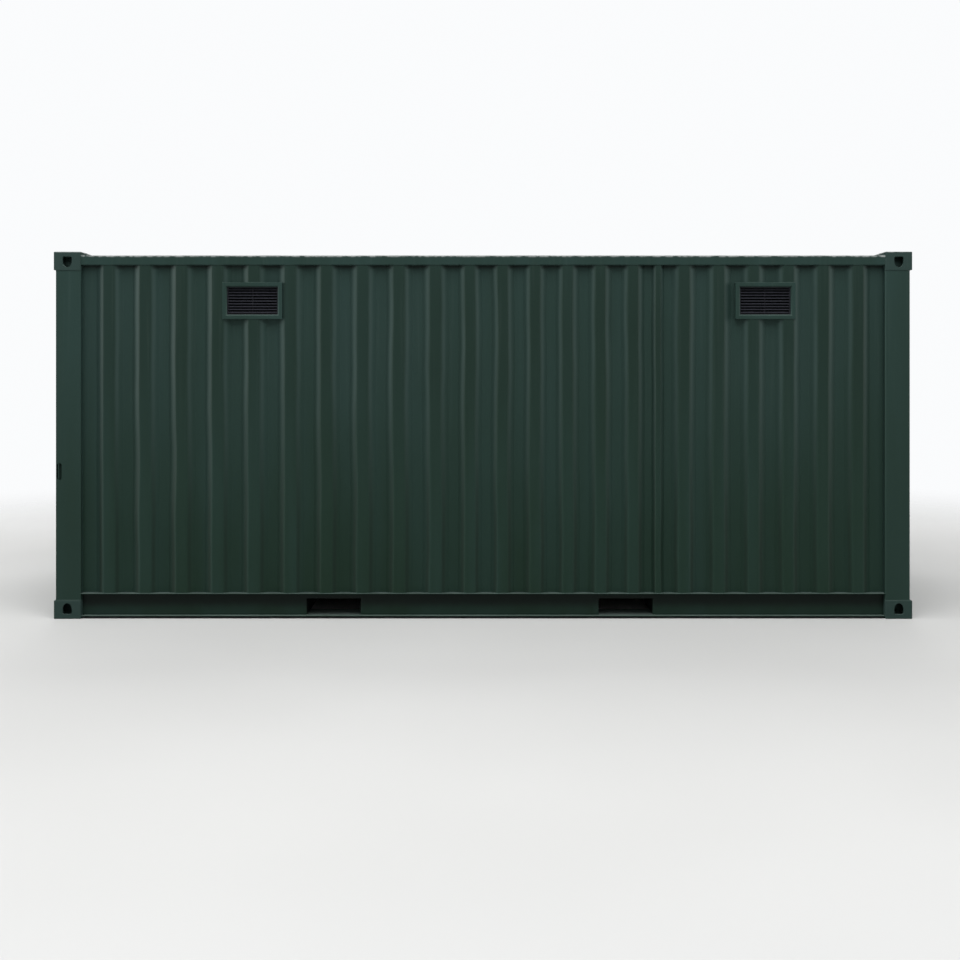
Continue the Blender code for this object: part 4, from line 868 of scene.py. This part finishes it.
def foot_of(piece):
    """The lowest flat face of a bar: its middle gives the bar's axis, its corners the radius."""
    lowest = min(piece.data.polygons, key=lambda face: (face.center.z, -face.area))
    corner = piece.data.vertices[lowest.vertices[0]].co
    return lowest.center.copy(), (corner - lowest.center).length


def locking_bar(node):
    """A bar with its cams and hub from the frame and a true round shaft over the drawn one."""
    piece = copy_of(node, node + "_finished")
    round_edges(piece, CAM_ROUND, 2,
                lambda edge: is_sharp(edge, CAM_CORNER) and edge.calc_length() > CAM_SHORTEST)
    mode("OBJECT")
    foot, radius = foot_of(NODES[node])
    low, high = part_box(node)
    middle = (foot.x, foot.y, (low.z + high.z) / 2)
    alone(piece)
    bpy.ops.mesh.primitive_cylinder_add(
        vertices=BAR_SIDES, radius=radius + NEAR_ZERO, depth=high.z - low.z, location=middle)
    sleeve = bpy.context.object
    mode("EDIT")
    round_edges(sleeve, BAR_END_ROUND, 2, lambda edge: is_sharp(edge, MOST_BEND))
    mode("OBJECT")
    bpy.ops.object.transform_apply(location=True, rotation=True, scale=True)
    piece.select_set(True)
    bpy.context.view_layer.objects.active = piece
    bpy.ops.object.join()
    return give(piece, zinc, node)


bars = [locking_bar(node) for node in sorted(NODES) if node.startswith("locking_bar")]
print("bars:", len(bars), "faces each:", len(bars[0].data.polygons))

# %% [markdown]
# ## Bolts
#
# The feet of the bar brackets, the hinge blades and the catches are bolted through the leaf. One
# bolt is modelled: a six-sided head, turned down at its corners, on a washer. Then it is copied to
# each place. The places come from the frame itself: each foot is a small flat face that looks out of
# the door end, at its own distance from the end.

# %% One hex bolt and its copies
HEAD_RADIUS = 0.0105
HEAD_HEIGHT = 0.0075
WASHER_RADIUS = 0.0130
WASHER_HEIGHT = 0.0020
WASHER_SIDES = 20
TOP_INSET_SHARE = 0.16          # shares of the head's radius: its outer face is set in by this much
TOP_RISE_SHARE = 0.10           # and lifted by this much, which turns down the six corners
FOOT_IN, FOOT_AREA = 0.062, 0.002       # bracket feet: in from the end, and the most that they cover
BLADE_IN, BLADE_AREA = 0.058, 0.020     # hinge blades
CATCH_IN, CATCH_AREA = 0.063, 0.010     # catches
BLADE_BOLTS = (-0.030, 0.012)   # places across a blade, from its middle
PLANE_SLACK = 0.0005


def hex_bolt():
    """A bolt that looks along -X, with the underside of its washer at the origin."""
    turned = (0, -math.pi / 2, 0)
    bpy.ops.mesh.primitive_cylinder_add(
        vertices=WASHER_SIDES, radius=WASHER_RADIUS, depth=WASHER_HEIGHT,
        location=(-WASHER_HEIGHT / 2, 0, 0), rotation=turned)
    washer = bpy.context.object
    bpy.ops.mesh.primitive_cylinder_add(
        vertices=6, radius=HEAD_RADIUS, depth=HEAD_HEIGHT,
        location=(-WASHER_HEIGHT - HEAD_HEIGHT / 2, 0, 0), rotation=turned)
    head = bpy.context.object
    mode("EDIT")
    pick(head, "FACE", lambda face: len(face.verts) == 6 and face.calc_center_median().z > 0)
    bpy.ops.mesh.inset(thickness=HEAD_RADIUS * TOP_INSET_SHARE)
    bpy.ops.transform.translate(value=(-HEAD_RADIUS * TOP_RISE_SHARE, 0, 0))
    mode("OBJECT")
    alone(head)
    washer.select_set(True)
    bpy.ops.object.join()
    bpy.ops.object.transform_apply(location=True, rotation=True, scale=True)
    head.name = "hex_bolt"
    return head


def small_faces(node, distance_in, most):
    """Middles of a node's flat faces that look along -X at a distance in from the end."""
    probe = copy_of(node, "probe")
    mesh = bmesh.from_edit_mesh(probe.data)
    plane = CAD_LOW.x + distance_in
    found = [
        face.calc_center_bounds() for face in mesh.faces
        if face.normal.x < -STRAIGHT and abs(face.verts[0].co.x - plane) < PLANE_SLACK
        and face.calc_area() < most
    ]
    mode("OBJECT")
    bpy.data.objects.remove(probe, do_unlink=True)
    return found


bolt = hex_bolt()
for side in ("near", "far"):
    leaf = "door_leaf_" + side
    places = small_faces(leaf, FOOT_IN, FOOT_AREA)
    for middle in small_faces(leaf, BLADE_IN, BLADE_AREA):
        places += [middle + Vector((0, shift, 0)) for shift in BLADE_BOLTS]
    for node in sorted(NODES):
        if node.startswith("handle_catch") and (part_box(node)[0].y < 0) == (side == "near"):
            places += small_faces(node, CATCH_IN, CATCH_AREA)
    copies = []
    for place in places:
        copied = bpy.data.objects.new("bolt_copy", bolt.data.copy())
        bpy.context.scene.collection.objects.link(copied)
        copied.data.transform(Matrix.Translation(place))
        copies.append(copied)
    alone(copies[0])
    for copied in copies:
        copied.select_set(True)
    bpy.ops.object.join()
    copies[0].name = f"leaf_{side}_bolts"
    give(copies[0], frame_paint)
    print("bolts on the", side, "leaf:", len(places))
bpy.data.objects.remove(bolt, do_unlink=True)

# %% [markdown]
# ## Floor and underframe
#
# The floor and the crossmembers hardly show while the doors are closed, so their own shapes are kept,
# and they only get their finishes.

# %% Underneath
for node, paint in (("floor_deck", plywood), ("floor_crossmembers", frame_paint)):
    NODES[node].data.materials.clear()
    NODES[node].data.materials.append(paint.material)
print("underframe is painted")

# %% [markdown]
# ## Studio
#
# A plain pale floor and a white surround, with soft light: a large lamp high in front, as open sky
# is, and one far out on each side. The side lamps stand almost in the plane of the wall. From there
# they rake over the crests and light only the flanks of each fold, which draws the upright lines. A
# lamp beside the camera would wash them out. A weaker one behind fills the far side. The floor fades
# into the surround with distance, so that no horizon shows, and it is paler to the camera than it is
# to the light that it throws back.

# %% Floor and surround
FLOOR_SIZE = 60.0
FADE_FROM = 4.6                 # metres from the middle, where the floor starts to fade
FADE_TO = 10.0
AMBIENT = 0.36                  # strength of the surround as a light; to the camera it is 1
FLOOR_SHOWN = ((0.66, 0.66, 0.65, 1), (0.69, 0.69, 0.68, 1))
FLOOR_THROWN = ((0.34, 0.34, 0.33, 1), (0.36, 0.36, 0.35, 1))
SURROUND = (0.96, 0.97, 0.98, 1)
bpy.ops.mesh.primitive_plane_add(size=FLOOR_SIZE, location=(0, 0, CAD_LOW.z))
ground = bpy.context.object
ground.name = "studio_floor"
floor_finish = Finish("studio_floor", "", {"Metallic": 0.0, "Specular IOR Level": 0.0})


def seen_share(nodes):
    """1 for rays that show something to the camera, straight or by a mirror, 0 for diffuse light."""
    rays = [nodes.add("ShaderNodeLightPath", output=kind)
            for kind in ("Is Camera Ray", "Is Glossy Ray", "Is Transmission Ray")]
    return nodes.add("ShaderNodeMath", {"operation": "MINIMUM"}, {0: rays[0] + rays[1] + rays[2], 1: 1.0})


tone = floor_finish.ramp(floor_finish.noise(2.5, detail=2), 0.3, 0.7)
pale = floor_finish.mix(tone, *FLOOR_SHOWN)
thrown = floor_finish.mix(tone, *FLOOR_THROWN)
floor_finish.set(floor_finish.mix(seen_share(floor_finish), thrown, pale), 0.9)
away = floor_finish.add("ShaderNodeVectorMath", {"operation": "LENGTH"}, {0: floor_finish.place()}, "Value")
clear = floor_finish.add("ShaderNodeBsdfTransparent")
surface = floor_finish.add("ShaderNodeMixShader", None, {0: floor_finish.ramp(away, FADE_FROM, FADE_TO)})
blend = surface.socket.node
floor_finish.tree.links.new(floor_finish.shader.outputs["BSDF"], blend.inputs[1])
floor_finish.tree.links.new(clear.socket, blend.inputs[2])
floor_finish.tree.links.new(blend.outputs[0], floor_finish.tree.nodes["Material Output"].inputs["Surface"])
ground.data.materials.append(floor_finish.material)

surround = bpy.data.worlds.new("surround")
surround.use_nodes = True
bpy.context.scene.world = surround
air = Nodes(surround.node_tree)
backdrop = surround.node_tree.nodes["Background"]
backdrop.inputs["Color"].default_value = SURROUND
air.feed(backdrop.inputs["Strength"], seen_share(air) * (1 - AMBIENT) + AMBIENT)
print("floor fades from", FADE_FROM, "to", FADE_TO, "m")

# %% [markdown]
# ## Lamps
#
# The power of a lamp follows from how bright its face is, so a lamp can be made larger or moved
# without guessing a new number of watts. Lamps are hidden from the camera, so that none of them can
# stand in the way of a view from another side.

# %% Lamps
def softbox(name, place, target, width, height, radiance):
    """A rectangular lamp that faces a point."""
    way = Vector(target) - Vector(place)
    bpy.ops.object.light_add(type="AREA", location=place, rotation=way.to_track_quat("-Z", "Y").to_euler())
    lamp = bpy.context.object
    lamp.name = name
    lamp.data.shape = "RECTANGLE"
    lamp.data.size = width
    lamp.data.size_y = height
    lamp.data.energy = radiance * math.pi * width * height
    lamp.visible_camera = False
    return lamp


near_wall = (0, CAD_LOW.y, CAD_HIGH.z / 2)
far_wall = (0, CAD_HIGH.y, CAD_HIGH.z / 2)
softbox("sky_lamp", (0, -8.0, 14.0), near_wall, width=16.0, height=9.0, radiance=3.8)
softbox("left_lamp", (-22.0, -3.4, 5.5), near_wall, width=3.0, height=8.0, radiance=28.0)
softbox("right_lamp", (22.0, -4.4, 5.5), near_wall, width=5.0, height=8.0, radiance=7.0)
softbox("back_lamp", (0, 9.0, 13.0), far_wall, width=14.0, height=8.0, radiance=2.6)
